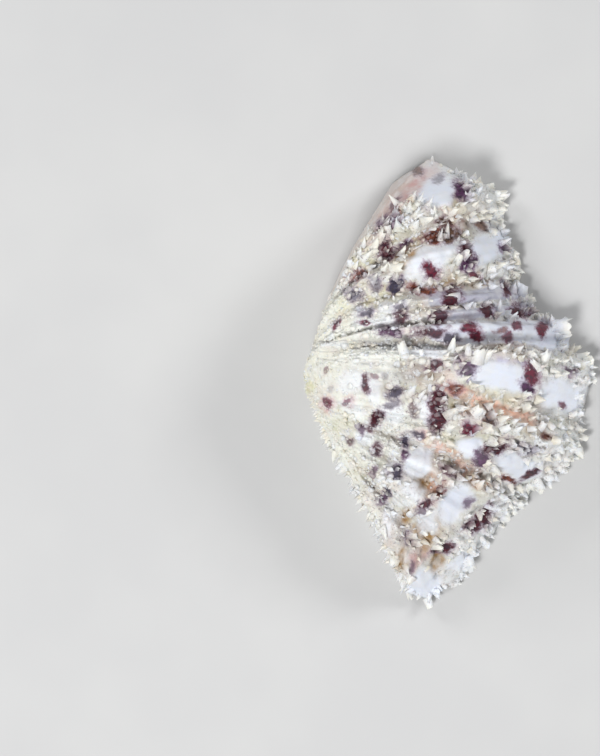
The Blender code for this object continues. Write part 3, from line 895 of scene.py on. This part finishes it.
def ground_colour(growth, across, plan, rise, bare, whitening):
    """The soft colour of the shell under its blotches. plan is in mm from the box."""
    flat = flattened(plan)
    moved = warped(plan)
    away = np.linalg.norm(plan - UMBO[:2], axis=-1)
    edge = smooth_step(*EDGE_FROM, growth)
    furrow = furrow_share(plan)
    dome = 1.0 - under_keel_share(across)
    valley = smooth_step(*VALLEY_RIBS, along_fan(RIBS, across)) * smooth_step(*VALLEY_FROM, growth)
    # The hollows and the gaps between crowded scales darken: partly real stain, partly painted shade.
    crowded = smooth_step(YOUNG_WITHIN + 3.0, YOUNG_UP_TO + 12.0, away) * (1.0 - bare)
    hollow_stain_and_shade = smooth_step(*HOLLOW_RISE, rise)
    gap_stain_and_shade = crowded * (0.45 + 0.55 * hollow_stain_and_shade) * (1.0 - 0.75 * whitening) * (1.0 - 0.5 * edge)
    gap_stain_and_shade = gap_stain_and_shade * (1.0 - 0.8 * furrow) * (1.0 - 0.45 * calm_share(plan))
    broken = 0.45 + 0.55 * smooth_step(-0.35, 0.25, noise(flat, 1.4, 11))
    washed = broken * (1.0 - whitening) * dome
    tone = noise(flat, 0.9, 19) * min(2.0 * whitening, 1.0)
    strip = strip_share(growth, across, plan)
    posterior = smooth_step(*POSTERIOR_STRIP, across) * smooth_step(*POSTERIOR_FROM, growth)
    coats = [
        (OUTER_WHITE, smooth_step(*WHITE_FROM, growth)),
        (GROOVE_TAN, 0.8 * valley),
        (gap_stain_and_shade_colour(flat), 0.95 * gap_stain_and_shade),
    ]
    coats += [
        (wash[5], wash[6] * washed * smooth_step(-0.55, 0.45, spot_depth(moved, wash)))
        for wash in WASHES
    ]
    coats += [
        (EDGE_WHITE, 0.55 * edge),
        (WARM_SCALE, 0.7 * np.maximum(tone, 0.0)),
        (COOL_SCALE, 0.7 * np.maximum(-tone, 0.0)),
        (BEIGE, 0.65 * posterior),
        # Painted shade darkens the smooth strips, except the one past LIT_STRIP, which turns back to the
        # lit white.
        (STRIP_LILAC_PAINTED_SHADE, 0.9 * strip),
        (PATCH_WHITE, 0.7 * strip * smooth_step(*LIT_STRIP, across)),
        (PATCH_WHITE, white_share(plan)),
        (PIT_OCHRE, 0.95 * pit_share(plan) * dome),
        # Painted shade in the furrows.
        (FURROW_SHADE_GREY, 0.5 * furrow),
    ]
    colour = np.zeros(plan.shape[:-1] + (3,)) + np.array(CREAM)
    for tint, share in coats:
        colour = blend_to(colour, tint, share)
    return colour


def blotch_masks(plan):
    """Colour, depth and strength of the dark blotches. plan is in mm from the box."""
    moved = warped(plan)
    depth = np.full(plan.shape[:-1], -1.0)
    weight = np.full(plan.shape[:-1], 1e-6)
    colour = np.zeros(plan.shape[:-1] + (3,))
    strength = np.zeros(plan.shape[:-1])
    for blotch in BLOTCHES:
        own_depth = spot_depth(moved, blotch) + BLOTCH_SPREAD
        depth = np.maximum(depth, own_depth)
        own_weight = np.exp(np.clip(own_depth, -4.0, 1.0) * 9.0)
        weight += own_weight
        colour += np.array(blotch[5]) * own_weight[..., None]
        strength += blotch[6] * own_weight
    return colour / weight[..., None], np.clip(depth, -1.0, 1.0), strength / weight


def store(mesh, name, values):
    """Keeps one number or one colour for every vertex as a named attribute."""
    if values.ndim > 1:
        values = np.concatenate([values, np.ones((len(values), 1))], axis=1)
        data = mesh.attributes.new(name, "FLOAT_COLOR", "POINT").data
        data.foreach_set("color", values.astype(np.float32).ravel())
    else:
        data = mesh.attributes.new(name, "FLOAT", "POINT").data
        data.foreach_set("value", values.astype(np.float32))


def write_colours(mesh, place, growth, across, rise, tip, each=1, whitening=0.0, gloss=1.0,
                  marked=1.0):
    """Stores the colour masks as named attributes. place is in mm.

    Each place, with its growth, across and rise, is shared by that many vertices.
    """
    plan = place[..., :2]
    away = np.linalg.norm(plan - UMBO[:2], axis=-1)
    blotch, depth, strength = blotch_masks(plan)
    bare = bare_share(growth, across, plan)
    masks = {
        "ground": ground_colour(growth, across, plan, rise, bare, whitening),
        "blotch": blotch,
        "blotch_depth": depth - 0.25 * whitening,
        "blotch_strength": marked * strength * (1.0 - 0.7 * under_keel_share(across)),
        "bare": gloss * bare,
        "young": smooth_step(YOUNG_UP_TO, YOUNG_WITHIN, away),
    }
    for name, values in masks.items():
        store(mesh, name, np.repeat(values, each, axis=0))
    store(mesh, "tip", tip)


# The valve
def zip_rows(first, second):
    """Triangles between two rows of vertices that start and end together."""
    faces = []
    place = 0
    other = 0
    while place < len(first) - 1 or other < len(second) - 1:
        next_first = (place + 1) / (len(first) - 1)
        next_second = (other + 1) / (len(second) - 1)
        if next_first <= next_second + 1e-9:
            faces.append((first[place], first[place + 1], second[other]))
            place += 1
        else:
            faces.append((first[place], second[other + 1], second[other]))
            other += 1
    return faces


def grid_faces(first_index, rows, columns, pole):
    """Quads over a grid of vertices, closed by a fan of triangles at its pole."""
    faces = []
    for column in range(columns - 1):
        faces.append((pole, first_index + column + 1, first_index + column))
        for row in range(rows - 1):
            corner = first_index + row * columns + column
            faces.append((corner, corner + 1, corner + 1 + columns, corner + columns))
    return faces


def boundary(first_index, rows, columns, pole):
    """The three open sides of a grid: hinge side, margin and lunule side."""
    hinge = [pole] + [first_index + row * columns for row in range(rows)]
    margin = [first_index + (rows - 1) * columns + column for column in range(columns)]
    lunule = [pole] + [first_index + row * columns + columns - 1 for row in range(rows)]
    return hinge, margin, lunule


def growth_rows(count):
    """Places of the mesh rows from just off the umbo to the margin."""
    share = np.arange(1, count + 1) / count
    return share ** ROW_SPACING


def place_piece(name, mesh):
    """Links a mesh into the scene as a piece of the valve."""
    piece = bpy.data.objects.new(name, mesh)
    bpy.context.scene.collection.objects.link(piece)
    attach(piece, BODY)
    return piece


def scar_share(growth, place):
    """1 on the muscle's scar and on the line that joins it round the cavity."""
    away = (place[:, :2] - SCAR_MIDDLE) / SCAR_HALF
    muscle = smooth_step(1.1, 0.9, np.linalg.norm(away, axis=1))
    line = smooth_step(SCAR_LINE_WIDTH, 0.4 * SCAR_LINE_WIDTH, np.abs(growth - SCAR_LINE_AT))
    return np.maximum(muscle, 0.7 * line)


def build_valve(outside, inside):
    """The fine closed mesh of the valve, with its inner face in its own material."""
    outer_across = np.linspace(0.0, LAST, LAST * COLUMNS_PER_RIB + 1)
    inner_across = np.linspace(0.0, LAST, LAST * INNER_COLUMNS_PER_RIB + 1)
    outer_columns = len(outer_across)
    inner_columns = len(inner_across)
    across, growth = np.meshgrid(outer_across, growth_rows(OUTER_ROWS))
    outer, _, rise = finished_face(growth, across)
    in_across, in_growth = np.meshgrid(inner_across, growth_rows(INNER_ROWS))
    inner = inner_face(in_growth, in_across)

    points = np.concatenate([
        [(0.0, 0.0, 0.0), (*CAVITY_START, 0.0)],
        outer.reshape(-1, 3),
        inner.reshape(-1, 3),
    ]) + UMBO
    all_growth = np.concatenate([[0.0, 0.0], growth.ravel(), in_growth.ravel()])
    all_across = np.concatenate([[0.0, 0.0], across.ravel(), in_across.ravel()])
    all_rise = np.concatenate([[1.0, 1.0], rise.ravel(), np.ones(inner.size // 3)])

    outer_start = 2
    inner_start = outer_start + OUTER_ROWS * outer_columns
    faces = grid_faces(outer_start, OUTER_ROWS, outer_columns, 0)
    outside_count = len(faces)
    lining = grid_faces(inner_start, INNER_ROWS, inner_columns, 1)
    outer_sides = boundary(outer_start, OUTER_ROWS, outer_columns, 0)
    inner_sides = boundary(inner_start, INNER_ROWS, inner_columns, 1)
    faces += [tuple(reversed(face)) for face in lining]
    faces.append((0, outer_sides[0][1], 1))
    faces.append((0, 1, outer_sides[2][1]))
    faces += zip_rows(outer_sides[0][1:], [1] + inner_sides[0][1:])
    faces += [tuple(reversed(f)) for f in zip_rows(outer_sides[2][1:], inner_sides[2])]
    faces += zip_rows(outer_sides[1], inner_sides[1])

    mesh = bpy.data.meshes.new("valve")
    mesh.from_pydata((points * MM).tolist(), [], faces)
    write_colours(mesh, points, all_growth, all_across, all_rise, np.zeros(len(points)))
    store(mesh, "scar", scar_share(all_growth, points))
    mesh.materials.append(outside)
    mesh.materials.append(inside)
    slots = np.ones(len(faces), np.int32)
    slots[:outside_count] = 0
    mesh.polygons.foreach_set("material_index", slots)
    mesh.shade_smooth()
    return place_piece("valve", mesh)


# Scales
def leaning(outward, wished):
    """The wished directions laid into the face, as unit vectors square to outward."""
    lying = wished - outward * np.sum(wished * outward, axis=-1, keepdims=True)
    return unit(lying)


def from_umbo(growth, across):
    """Distance in plan from the umbo."""
    return np.linalg.norm(outer_dome(growth, across)[:, :2], axis=1)


def scale_rows(random):
    """Scales in rows on the riblets: growth, across, length, width, lift, spread, turn."""
    seeds = []
    for riblet in range(1, int(RIBLET_COUNTS[-1])):
        across = float(np.interp(riblet, RIBLET_COUNTS, RIBLET_PLACES))
        ribs = float(along_fan(RIBS, across))
        line_growth = np.linspace(0.0, 1.0, 400)
        line = outer_dome(line_growth, np.full(line_growth.shape, across))
        reached = lengths_along(line)
        distance = np.linalg.norm(line[:, :2], axis=1)
        at = random.uniform(*ROW_START)
        while at < reached[-1] - ROW_END:
            growth = float(np.interp(at, reached, line_growth))
            far = float(np.interp(at, reached, distance))
            share = float(smooth_step(YOUNG_WITHIN, FULL_SCALES_FROM, far))
            length = grown(share, SCALE_LENGTH_UMBO, SCALE_LENGTH_MARGIN)
            length *= max(0.82 + 0.28 * ribs, 0.68) * random.uniform(0.55, 1.35)
            length = min(length, grown(growth, 5.5, 2.0))
            width = length * random.uniform(0.60, 1.20)
            lift = grown(growth, 15.0, random.uniform(20.0, 62.0))
            spread = random.choice(SCALE_SPREADS)
            turn = random.normal(0.0, 24.0)
            place = min(max(across + random.normal(0.0, 0.10), 0.3), LAST - 0.1)
            late = far > random.uniform(YOUNG_WITHIN, YOUNG_UP_TO)
            if late:
                seeds.append((growth, place, length, width, lift, spread, turn))
            if late and growth > TWINS_FROM and random.uniform() < TWIN_SHARE:
                turn += random.choice((-1.0, 1.0)) * random.uniform(25.0, 50.0)
                size = random.uniform(0.5, 0.8)
                seeds.append((growth, place, length * size, width * size, lift, 0.1, turn))
            pitch = grown(growth, SCALE_PITCH_UMBO, SCALE_PITCH_MARGIN)
            at += pitch * random.uniform(0.6, 1.4)
    return np.array(seeds)


def shaped(random, growth, across, length, widths, lifts, spreads, turn):
    """The same table for many scales at once, with the last four columns drawn.

    widths are shares of the length, and turn says how far the turns spread, in degrees.
    """
    count = len(length)
    return np.stack([
        growth,
        across,
        length,
        length * random.uniform(*widths, count),
        random.uniform(*lifts, count),
        random.choice(spreads, count),
        random.normal(0.0, turn, count),
    ], axis=-1)


def crumbs(random, count):
    """Small crooked scales and crumbs strewn between the rows."""
    growth = random.uniform(0.0, 1.0, count) ** 0.55
    across = random.uniform(1.5, LAST - 0.2, count)
    share = smooth_step(0.5 * YOUNG_WITHIN, FULL_SCALES_FROM, from_umbo(growth, across))
    length = grown(share, 0.30, 1.30) * random.uniform(0.6, 1.4, count)
    return shaped(random, growth, across, length, (0.6, 1.2), (15.0, 65.0), (0.1, 0.3, 0.7), 60.0)


def on_the_face(seeds):
    """Feet, outward and forward directions of scales that stand on the face."""
    growth, across = seeds[:, 0], seeds[:, 1]
    foot, outward, _ = finished_face(growth, across)
    forward = dome_directions(growth, across)[1]
    inner_part = smooth_step(0.95, 0.75, growth)[:, None]
    level = 1.0 - inner_part
    outward = unit(outward * inner_part + UP * level)
    forward = forward * inner_part + flattened(-margin_inward(across)) * level
    return foot, outward, leaning(outward, forward + inner_part * np.array([0.0, SCALE_UPTURN, 0.0]))


def margin_fringe(random):
    """The fringe of pointed scales along the free margin."""
    across = [2.9]
    while across[-1] < LAST - 1.2:
        across.append(across[-1] + random.uniform(0.12, 0.30))
    across = np.array(across)
    count = len(across)
    growth = random.uniform(0.972, 0.996, count)
    length = random.uniform(1.2, 3.0, count) * (0.95 + 0.1 * along_fan(RIBS, across))
    length *= grown(smooth_step(3.0, 5.0, across), 0.6, 1.0)
    seeds = shaped(random, growth, across, length, (0.6, 1.2), (0.0, 40.0), (0.15, 0.4, 0.9), 26.0)
    foot = finished_face(growth, across)[0]
    seeds[:, 2] = np.minimum(length, FRINGE_REACH - UMBO[0] - foot[:, 0])
    return seeds, (foot, np.tile(UP, (count, 1)), flattened(-margin_inward(across)))


def keel_spikes(random):
    """The row of spikes down the keel."""
    count = KEEL_SPIKES
    growth = np.linspace(0.12, 0.97, count)
    across = KEEL + random.uniform(-0.35, 0.05, count)
    length = random.uniform(1.4, 3.1, count) * grown(smooth_step(0.10, 0.55, growth), 0.45, 1.0)
    seeds = shaped(random, growth, across, length, (0.45, 0.85), (5.0, 50.0), (0.05, 0.2), 18.0)
    foot = finished_face(growth, across)[0]
    away = dome_directions(growth, across)[0] * (1.0, 1.0, 0.0)
    return seeds, (foot, np.tile(UP, (count, 1)), unit(away + TO_TAIL))


def tall_scales(growth, across):
    """The scales that stand out one by one, set by their pixel in the photograph."""
    face = ribbed_face(growth, across)[0]
    seeds = []
    headings = []
    for column, row, length, width, heading, spread in TEETH:
        away = face[..., :2] + UMBO[:2] - from_photo(column, row)
        nearest = np.argmin(away[..., 0] ** 2 + away[..., 1] ** 2)
        foot = growth.flat[nearest], across.flat[nearest]
        seeds.append((*foot, length * TALL_SCALE, width, TALL_LIFT, spread, 0.0))
        headings.append((math.cos(math.radians(heading)), math.sin(math.radians(heading)), 0.0))
    seeds = np.array(seeds)
    foot, outward, _ = finished_face(seeds[:, 0], seeds[:, 1])
    level = smooth_step(0.70, 0.90, seeds[:, 0])[:, None]
    outward = unit(outward * (1.0 - level) + UP * level)
    return seeds, (foot, outward, leaning(outward, np.array(headings)))


def build_many(name, points, pattern, feet, seeds, tip, material, whitening, marked=1.0):
    """A piece made of many like shapes, each a row of points in mm from the umbo.

    The faces of pattern and the tip shares are those of one shape.
    """
    count, each = points.shape[:2]
    points[..., 2] = np.maximum(points[..., 2], FLOOR_GAP)
    points = points.reshape(-1, 3) + UMBO
    faces = pattern[None] + each * np.arange(count)[:, None, None]
    mesh = bpy.data.meshes.new(name)
    mesh.from_pydata((points * MM).tolist(), [], faces.reshape(-1, pattern.shape[1]).tolist())
    growth, across = seeds[:, 0], seeds[:, 1]
    rise = np.full(count, SCALE_RISE)
    tip = np.tile(tip, count)
    write_colours(mesh, feet + UMBO, growth, across, rise, tip, each, whitening, SCALE_GLOSS, marked)
    mesh.materials.append(material)
    mesh.shade_smooth()
    place_piece(name, mesh)
    return mesh


def scale_mesh(name, seeds, stand, random, columns, rows, material, marked=1.0, whitening=0.55):
    """One mesh of many closed, fluted scales.

    marked is how much of the blotches they take, whitening how little of the stains and of the painted
    shade of the hollows.
    """
    length, width, lift, spread, turn = seeds.T[2:]
    foot, outward, forward = stand
    side = np.cross(outward, forward)
    angle = np.radians(turn)[:, None]
    forward, side = (
        forward * np.cos(angle) + side * np.sin(angle),
        side * np.cos(angle) - forward * np.sin(angle),
    )
    count = len(seeds)
    over = np.linspace(-1.0, 1.0, columns)
    out = np.linspace(0.0, 1.0, rows)
    ragged = 1.0 + random.uniform(*RAGGED_EDGE, (count, columns)) * np.abs(over) ** 0.3
    ragged[:, columns // 2] = random.uniform(*RAGGED_MIDDLE, count)
    bow = random.normal(0.0, BOW, count)
    start = np.radians(LIFTED_FOOT)
    bend = np.radians(np.maximum(lift, LIFTED_FOOT + 1.0)) - start
    sheet = np.zeros((count, rows, columns, 3))
    under = np.zeros((count, rows, columns, 3))
    for row, share in enumerate(out):
        tilt = start + bend * share ** 0.7
        ahead = (np.sin(tilt) - np.sin(start)) / bend * share ** 0.3
        up = (np.cos(start) - np.cos(tilt)) / bend * share ** 0.3
        taper = 1.0 + (spread - 1.0) * share
        square = -np.sin(tilt)[:, None] * forward + np.cos(tilt)[:, None] * outward
        for column, place in enumerate(over):
            reach = length * (1.0 + (ragged[:, column] - 1.0) * share)
            arch = ARCH * width * taper * (1.0 - place ** 2)
            shift = 0.5 * width * taper * place + bow * length * share ** 2
            point = foot - outward * SCALE_SUNK + side * shift[:, None]
            point = point + forward * (reach * ahead)[:, None]
            point = point + outward * (reach * up)[:, None] + square * arch[:, None]
            thick = SCALE_THICK * np.minimum(length / FULL_THICK, 1.0) * (1.0 - 0.6 * share)
            sheet[:, row, column] = point
            under[:, row, column] = point - square * thick[:, None]
    half = rows * columns
    points = np.concatenate([sheet.reshape(count, half, 3), under.reshape(count, half, 3)], axis=1)

    pattern = []
    for row in range(rows - 1):
        for column in range(columns - 1):
            corner = row * columns + column
            quad = (corner, corner + columns, corner + columns + 1, corner + 1)
            pattern.append(quad)
            pattern.append(tuple(half + index for index in reversed(quad)))
    # The rim that joins the two faces of a scale.
    ring = list(range(columns))
    ring += [row * columns + columns - 1 for row in range(1, rows)]
    ring += [half - 1 - column for column in range(1, columns)]
    ring += [row * columns for row in range(rows - 2, 0, -1)]
    for place, index in enumerate(ring):
        after = ring[(place + 1) % len(ring)]
        pattern.append((index, after, half + after, half + index))
    tip = np.tile(np.repeat(out, columns), 2)
    mesh = build_many(name, points, np.array(pattern), foot, seeds, tip, material, whitening, marked)
    mesh.set_sharp_from_angle(angle=math.radians(SHARP_FOLD))


def lump_seeds(random, count, first, last, radius):
    """Grains and lumps on and between the riblets: growth, across and radius."""
    growth = random.uniform(first, last, count)
    riblet = random.integers(1, int(RIBLET_COUNTS[-1]) * 2, count) / 2.0
    across = np.interp(riblet, RIBLET_COUNTS, RIBLET_PLACES) + random.normal(0.0, 0.12, count)
    across = np.clip(across, 0.4, LAST - 0.2)
    size = radius * random.uniform(0.5, 1.35, count) * grown(growth, 0.8, 1.1)
    return np.stack([growth, across, size], axis=-1)


def groove_seeds(random, count):
    """Beads down the two deep grooves: growth, across and radius."""
    growth = random.uniform(0.38, 0.93, count)
    across = random.choice(DEEP_GROOVES, count) + random.normal(0.0, 0.20, count)
    return np.stack([growth, across, BEAD_RADIUS * random.uniform(0.7, 1.6, count)], axis=-1)


def lump_mesh(name, seeds, random, material):
    """One mesh of many uneven, half-sunk lumps."""
    growth, across, size = seeds.T
    foot, outward, _ = finished_face(growth, across)
    forward = leaning(outward, dome_directions(growth, across)[1])
    side = np.cross(outward, forward)
    shape = bmesh.new()
    bmesh.ops.create_icosphere(shape, subdivisions=2, radius=1.0)
    ball = np.array([vertex.co for vertex in shape.verts])
    pattern = np.array([[vertex.index for vertex in face.verts] for face in shape.faces])
    shape.free()
    shift = random.uniform(0.0, 20.0, (len(seeds), 1, 3))
    bumpy = 1.0 + LUMP_UNEVEN * noise(ball[None] + shift, 0.8, 16)
    stretch = random.uniform(*LUMP_STRETCH, (len(seeds), 1, 3)) * LUMP_FLAT
    local = ball[None] * bumpy[..., None] * stretch * size[:, None, None]
    points = foot[:, None] + local[..., :1] * side[:, None] + local[..., 1:2] * forward[:, None]
    points = points + (local[..., 2:] + 0.1 * size[:, None, None]) * outward[:, None]
    # Lumps whiten towards their tops like the scales' tips: partly real, partly painted shade at their
    # feet.
    tip = np.clip(0.12 + 0.3 * ball[:, 2], 0.0, 1.0)
    build_many(name, points, pattern, foot, seeds, tip, material, LUMP_WHITENING)


def calm_share(plan):
    """1 near the lower end of the shell, where broad lumps take the place of scales."""
    return smooth_step(CALM_FROM, CALM_FULL, plan[..., 1])


def thinned(seeds, random):
    """The seeds without most of those on the smooth parts of the shell."""
    foot = ribbed_face(seeds[:, 0], seeds[:, 1])[0] + UMBO
    bare = bare_share(seeds[:, 0], seeds[:, 1], foot[:, :2], CLEARANCE)
    groove = 0.8 * smooth_step(-0.85, -1.15, along_fan(RIBS, seeds[:, 1]))
    bare = np.maximum(bare, np.maximum(pit_share(foot[:, :2]), groove))
    calm = 0.45 * calm_share(foot)
    return seeds[random.uniform(0.0, 1.0, len(seeds)) > np.maximum(bare * 1.9 - 0.25, calm)]


def build_scales(material):
    """All scales, in a few meshes."""
    random = np.random.default_rng(SEED)
    rows = thinned(scale_rows(random), random)
    scale_mesh("scale_rows", rows, on_the_face(rows), random, 5, 4, material)
    strewn = thinned(crumbs(random, CRUMBS), random)
    scale_mesh("crumbs", strewn, on_the_face(strewn), random, 3, 3, material)
    beads = thinned(lump_seeds(random, BEADS, 0.03, 0.62, BEAD_RADIUS), random)
    young = from_umbo(beads[:, 0], beads[:, 1]) < YOUNG_UP_TO
    lump_mesh("beads", beads[young], random, material)
    lumps = thinned(lump_seeds(random, LUMPS, 0.38, 0.985, LUMP_RADIUS), random)
    lump_mesh("lumps", lumps, random, material)
    lump_mesh("groove_beads", groove_seeds(random, GROOVE_BEADS), random, material)
    fringe, stand = margin_fringe(random)
    scale_mesh("margin_fringe", fringe, stand, random, 5, 4, material)
    spikes, stand = keel_spikes(random)
    scale_mesh("keel_spikes", spikes, stand, random, 5, 4, material)
    across, growth = np.meshgrid(np.linspace(1.0, LAST - 0.5, 400), np.linspace(0.05, 0.985, 400))
    tall, stand = tall_scales(growth, across)
    scale_mesh("tall_scales", tall, stand, random, 7, 6, material, 0.3, 0.85)


# Materials
class Shade:
    """One material's nodes. Shares and colours are sockets, or numbers set on them."""

    def __init__(self, name):
        self.material = bpy.data.materials.new(name)
        self.material.use_nodes = True
        self.tree = self.material.node_tree
        self.shader = self.tree.nodes["Principled BSDF"]
        self.coordinates = self.tree.nodes.new("ShaderNodeTexCoord")

    def put(self, socket, value):
        """Links a socket to another one, or sets a number or a colour on it."""
        if isinstance(value, bpy.types.NodeSocket):
            self.tree.links.new(value, socket)
        elif socket.type == "RGBA":
            socket.default_value = (*value, 1.0)
        else:
            socket.default_value = value

    def add(self, kind, **values):
        """A new node with some of its input values."""
        made = self.tree.nodes.new(kind)
        for name, value in values.items():
            self.put(made.inputs[name.replace("_", " ")], value)
        return made

    def attribute(self, name, output="Fac"):
        """Reads one of the vertex attributes."""
        made = self.add("ShaderNodeAttribute")
        made.attribute_type = "GEOMETRY"
        made.attribute_name = name
        return made.outputs[output]

    def grain(self, size_mm, detail=3.0):
        """Noise with features of a real size, on the object's own coordinates."""
        place = self.coordinates.outputs["Object"]
        scale = 1.0 / (size_mm * MM)
        made = self.add("ShaderNodeTexNoise", Vector=place, Scale=scale, Detail=detail, Roughness=0.6)
        return made.outputs["Fac"]

    def ramp(self, value, low, high):
        """0 where the value is below low, 1 above high, smooth between."""
        made = self.add("ShaderNodeMapRange", Value=value, From_Min=low, From_Max=high)
        made.interpolation_type = "SMOOTHSTEP"
        return made.outputs["Result"]

    def maths(self, operation, first, *others, clamp=False):
        """The sum, difference or product of several values, taken in order."""
        for other in others:
            made = self.add("ShaderNodeMath")
            made.operation = operation
            made.use_clamp = clamp
            self.put(made.inputs[0], first)
            self.put(made.inputs[1], other)
            first = made.outputs[0]
        return first

    def times(self, *factors):
        return self.maths("MULTIPLY", *factors)

    def plus(self, *terms):
        return self.maths("ADD", *terms)

    def rest(self, share):
        """What a share leaves of 1."""
        return self.maths("SUBTRACT", 1.0, share, clamp=True)

    def mix(self, share, first, second):
        """The first colour, with that share of the second."""
        made = self.add("ShaderNodeMix")
        made.data_type = "RGBA"
        for name, kind, value in (("Factor", "VALUE", share), ("A", "RGBA", first), ("B", "RGBA", second)):
            self.put(next(s for s in made.inputs if s.name == name and s.type == kind), value)
        return next(s for s in made.outputs if s.type == "RGBA")

    def bump(self, height, strength, distance_mm):
        """Roughens the surface."""
        made = self.add("ShaderNodeBump", Height=height, Strength=strength, Distance=distance_mm * MM)
        self.put(self.shader.inputs["Normal"], made.outputs["Normal"])

    def finish(self, colour, roughness):
        """Gives the shader its colour and roughness, and returns the material."""
        self.put(self.shader.inputs["Base Color"], colour)
        self.put(self.shader.inputs["Roughness"], roughness)
        return self.material


def outside_material():
    """The rough, blotched outer face and its scales."""
    shade = Shade("shell_outside")
    tip = shade.attribute("tip")
    bare = shade.attribute("bare")
    rough = shade.rest(bare)
    rough_old = shade.times(rough, shade.rest(shade.times(shade.attribute("young"), 0.7)))
    parts = {"all": (), "rough": (rough,), "rough_old": (rough_old,)}

    colour = shade.attribute("ground", "Color")
    for size, detail, low, high, strength, tint, part in MOTTLING:
        spots = shade.ramp(shade.grain(size, detail), low, high)
        colour = shade.mix(shade.times(spots, *parts[part], strength), colour, tint)
    pepper = shade.ramp(shade.grain(0.6, 2.0), 0.58, 0.68)
    crowds = shade.ramp(shade.grain(7.5), 0.47, 0.60)
    colour = shade.mix(shade.times(pepper, crowds, rough_old, 0.75), colour, PEPPER)
    # Scales and lumps whiten towards their tips and tops, so their feet stay darker: partly real fresh
    # white, partly painted shade at the feet.
    tip_white = shade.mix(shade.ramp(shade.grain(7.0), 0.42, 0.60), WARM_TIP, COOL_TIP)
    colour = shade.mix(shade.times(shade.ramp(tip, 0.05, 0.9), 0.75), colour, tip_white)

    blotch = shade.attribute("blotch", "Color")
    broad = shade.times(shade.plus(shade.grain(1.3), -0.5), 1.7)
    fine = shade.times(shade.plus(shade.grain(0.45, 2.0), -0.5), 0.8)
    edge = shade.plus(shade.attribute("blotch_depth"), broad, fine)
    strength = shade.attribute("blotch_strength")
    kept = shade.rest(shade.times(tip, 0.8))
    halo = shade.times(shade.ramp(edge, -0.85, 0.0), strength, kept, 0.6)
    colour = shade.mix(halo, colour, shade.mix(0.60, blotch, HALO))
    deep = shade.times(shade.ramp(shade.grain(1.0), 0.42, 0.62), 0.75)
    dark = shade.times(shade.ramp(edge, -0.40, 0.36), strength, kept)
    colour = shade.mix(dark, colour, shade.mix(deep, blotch, BLOTCH_CORE))

    shade.put(shade.shader.inputs["Subsurface Weight"], 0.15)
    shade.put(shade.shader.inputs["Subsurface Radius"], (1.0, 0.75, 0.6))
    shade.put(shade.shader.inputs["Subsurface Scale"], 0.9 * MM)
    shade.bump(shade.times(shade.grain(0.5, 4.0), rough), 0.8, 0.25)
    worn = shade.times(shade.grain(1.1), 0.22)
    return shade.finish(colour, shade.plus(shade.times(bare, -0.12), worn, 0.50))


def inside_material():
    """The porcelain-like inner face."""
    shade = Shade("shell_inside")
    colour = shade.mix(shade.ramp(shade.grain(9.0), 0.38, 0.66), LINING_WHITE, LINING_CREAM)
    streak = shade.ramp(shade.grain(1.6), 0.55, 0.75)
    colour = shade.mix(shade.times(streak, 0.3), colour, LINING_STREAK)
    colour = shade.mix(shade.times(shade.attribute("scar"), 0.8), colour, SCAR_TAN)
    shade.bump(shade.grain(2.6, 5.0), 0.5, 0.30)
    return shade.finish(colour, shade.plus(shade.times(shade.grain(2.2), 0.2), 0.18))


def floor_material():
    """A pale matt table."""
    shade = Shade("table")
    colour = shade.mix(shade.ramp(shade.grain(60.0), 0.35, 0.70), *TABLE)
    return shade.finish(colour, shade.plus(shade.times(shade.grain(4.0), 0.15), 0.7))


# Floor, light and camera
def build_floor():
    """A plain pale floor at the height that the valve rests on."""
    half = FLOOR_SIZE / 2.0
    mesh = bpy.data.meshes.new("floor")
    corners = [(-half, -half, 0.0), (half, -half, 0.0), (half, half, 0.0), (-half, half, 0.0)]
    mesh.from_pydata(corners, [], [(0, 1, 2, 3)])
    mesh.materials.append(floor_material())
    floor = bpy.data.objects.new("floor", mesh)
    bpy.context.scene.collection.objects.link(floor)


def build_lights():
    """Soft studio light, a little stronger from the lower left of the picture."""
    for name, place, size, power in LAMPS:
        light = bpy.data.lights.new(name, "AREA")
        light.size = size
        light.energy = power
        lamp = bpy.data.objects.new(name, light)
        lamp.location = place
        lamp.rotation_mode = "QUATERNION"
        lamp.rotation_quaternion = (-Vector(place)).to_track_quat("-Z", "Y")
        bpy.context.scene.collection.objects.link(lamp)
    world = bpy.data.worlds.new("studio")
    world.use_nodes = True
    background = world.node_tree.nodes["Background"]
    background.inputs["Color"].default_value = SKY
    background.inputs["Strength"].default_value = SKY_STRENGTH
    bpy.context.scene.world = world


def build_camera():
    """The photograph's view, straight down, with the valve in the same pixels."""
    middle = from_photo(PHOTO_WIDTH / 2.0, PHOTO_HEIGHT / 2.0) * MM
    half_height = PHOTO_HEIGHT / 2.0 * MM_PER_PIXEL * MM
    data = bpy.data.cameras.new("camera")
    data.sensor_width = SENSOR
    data.lens = SENSOR / 2.0 * CAMERA_DISTANCE / half_height
    data.clip_start = 0.1
    data.clip_end = 20.0
    camera = bpy.data.objects.new("camera", data)
    camera.location = (middle[0], middle[1], CAMERA_DISTANCE)
    bpy.context.scene.collection.objects.link(camera)
    bpy.context.scene.camera = camera


def main():
    bpy.context.scene.view_settings.view_transform = "Standard"
    outside = outside_material()
    valve = build_valve(outside, inside_material())
    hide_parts(NODE)
    build_scales(outside)
    build_floor()
    build_lights()
    build_camera()


main()
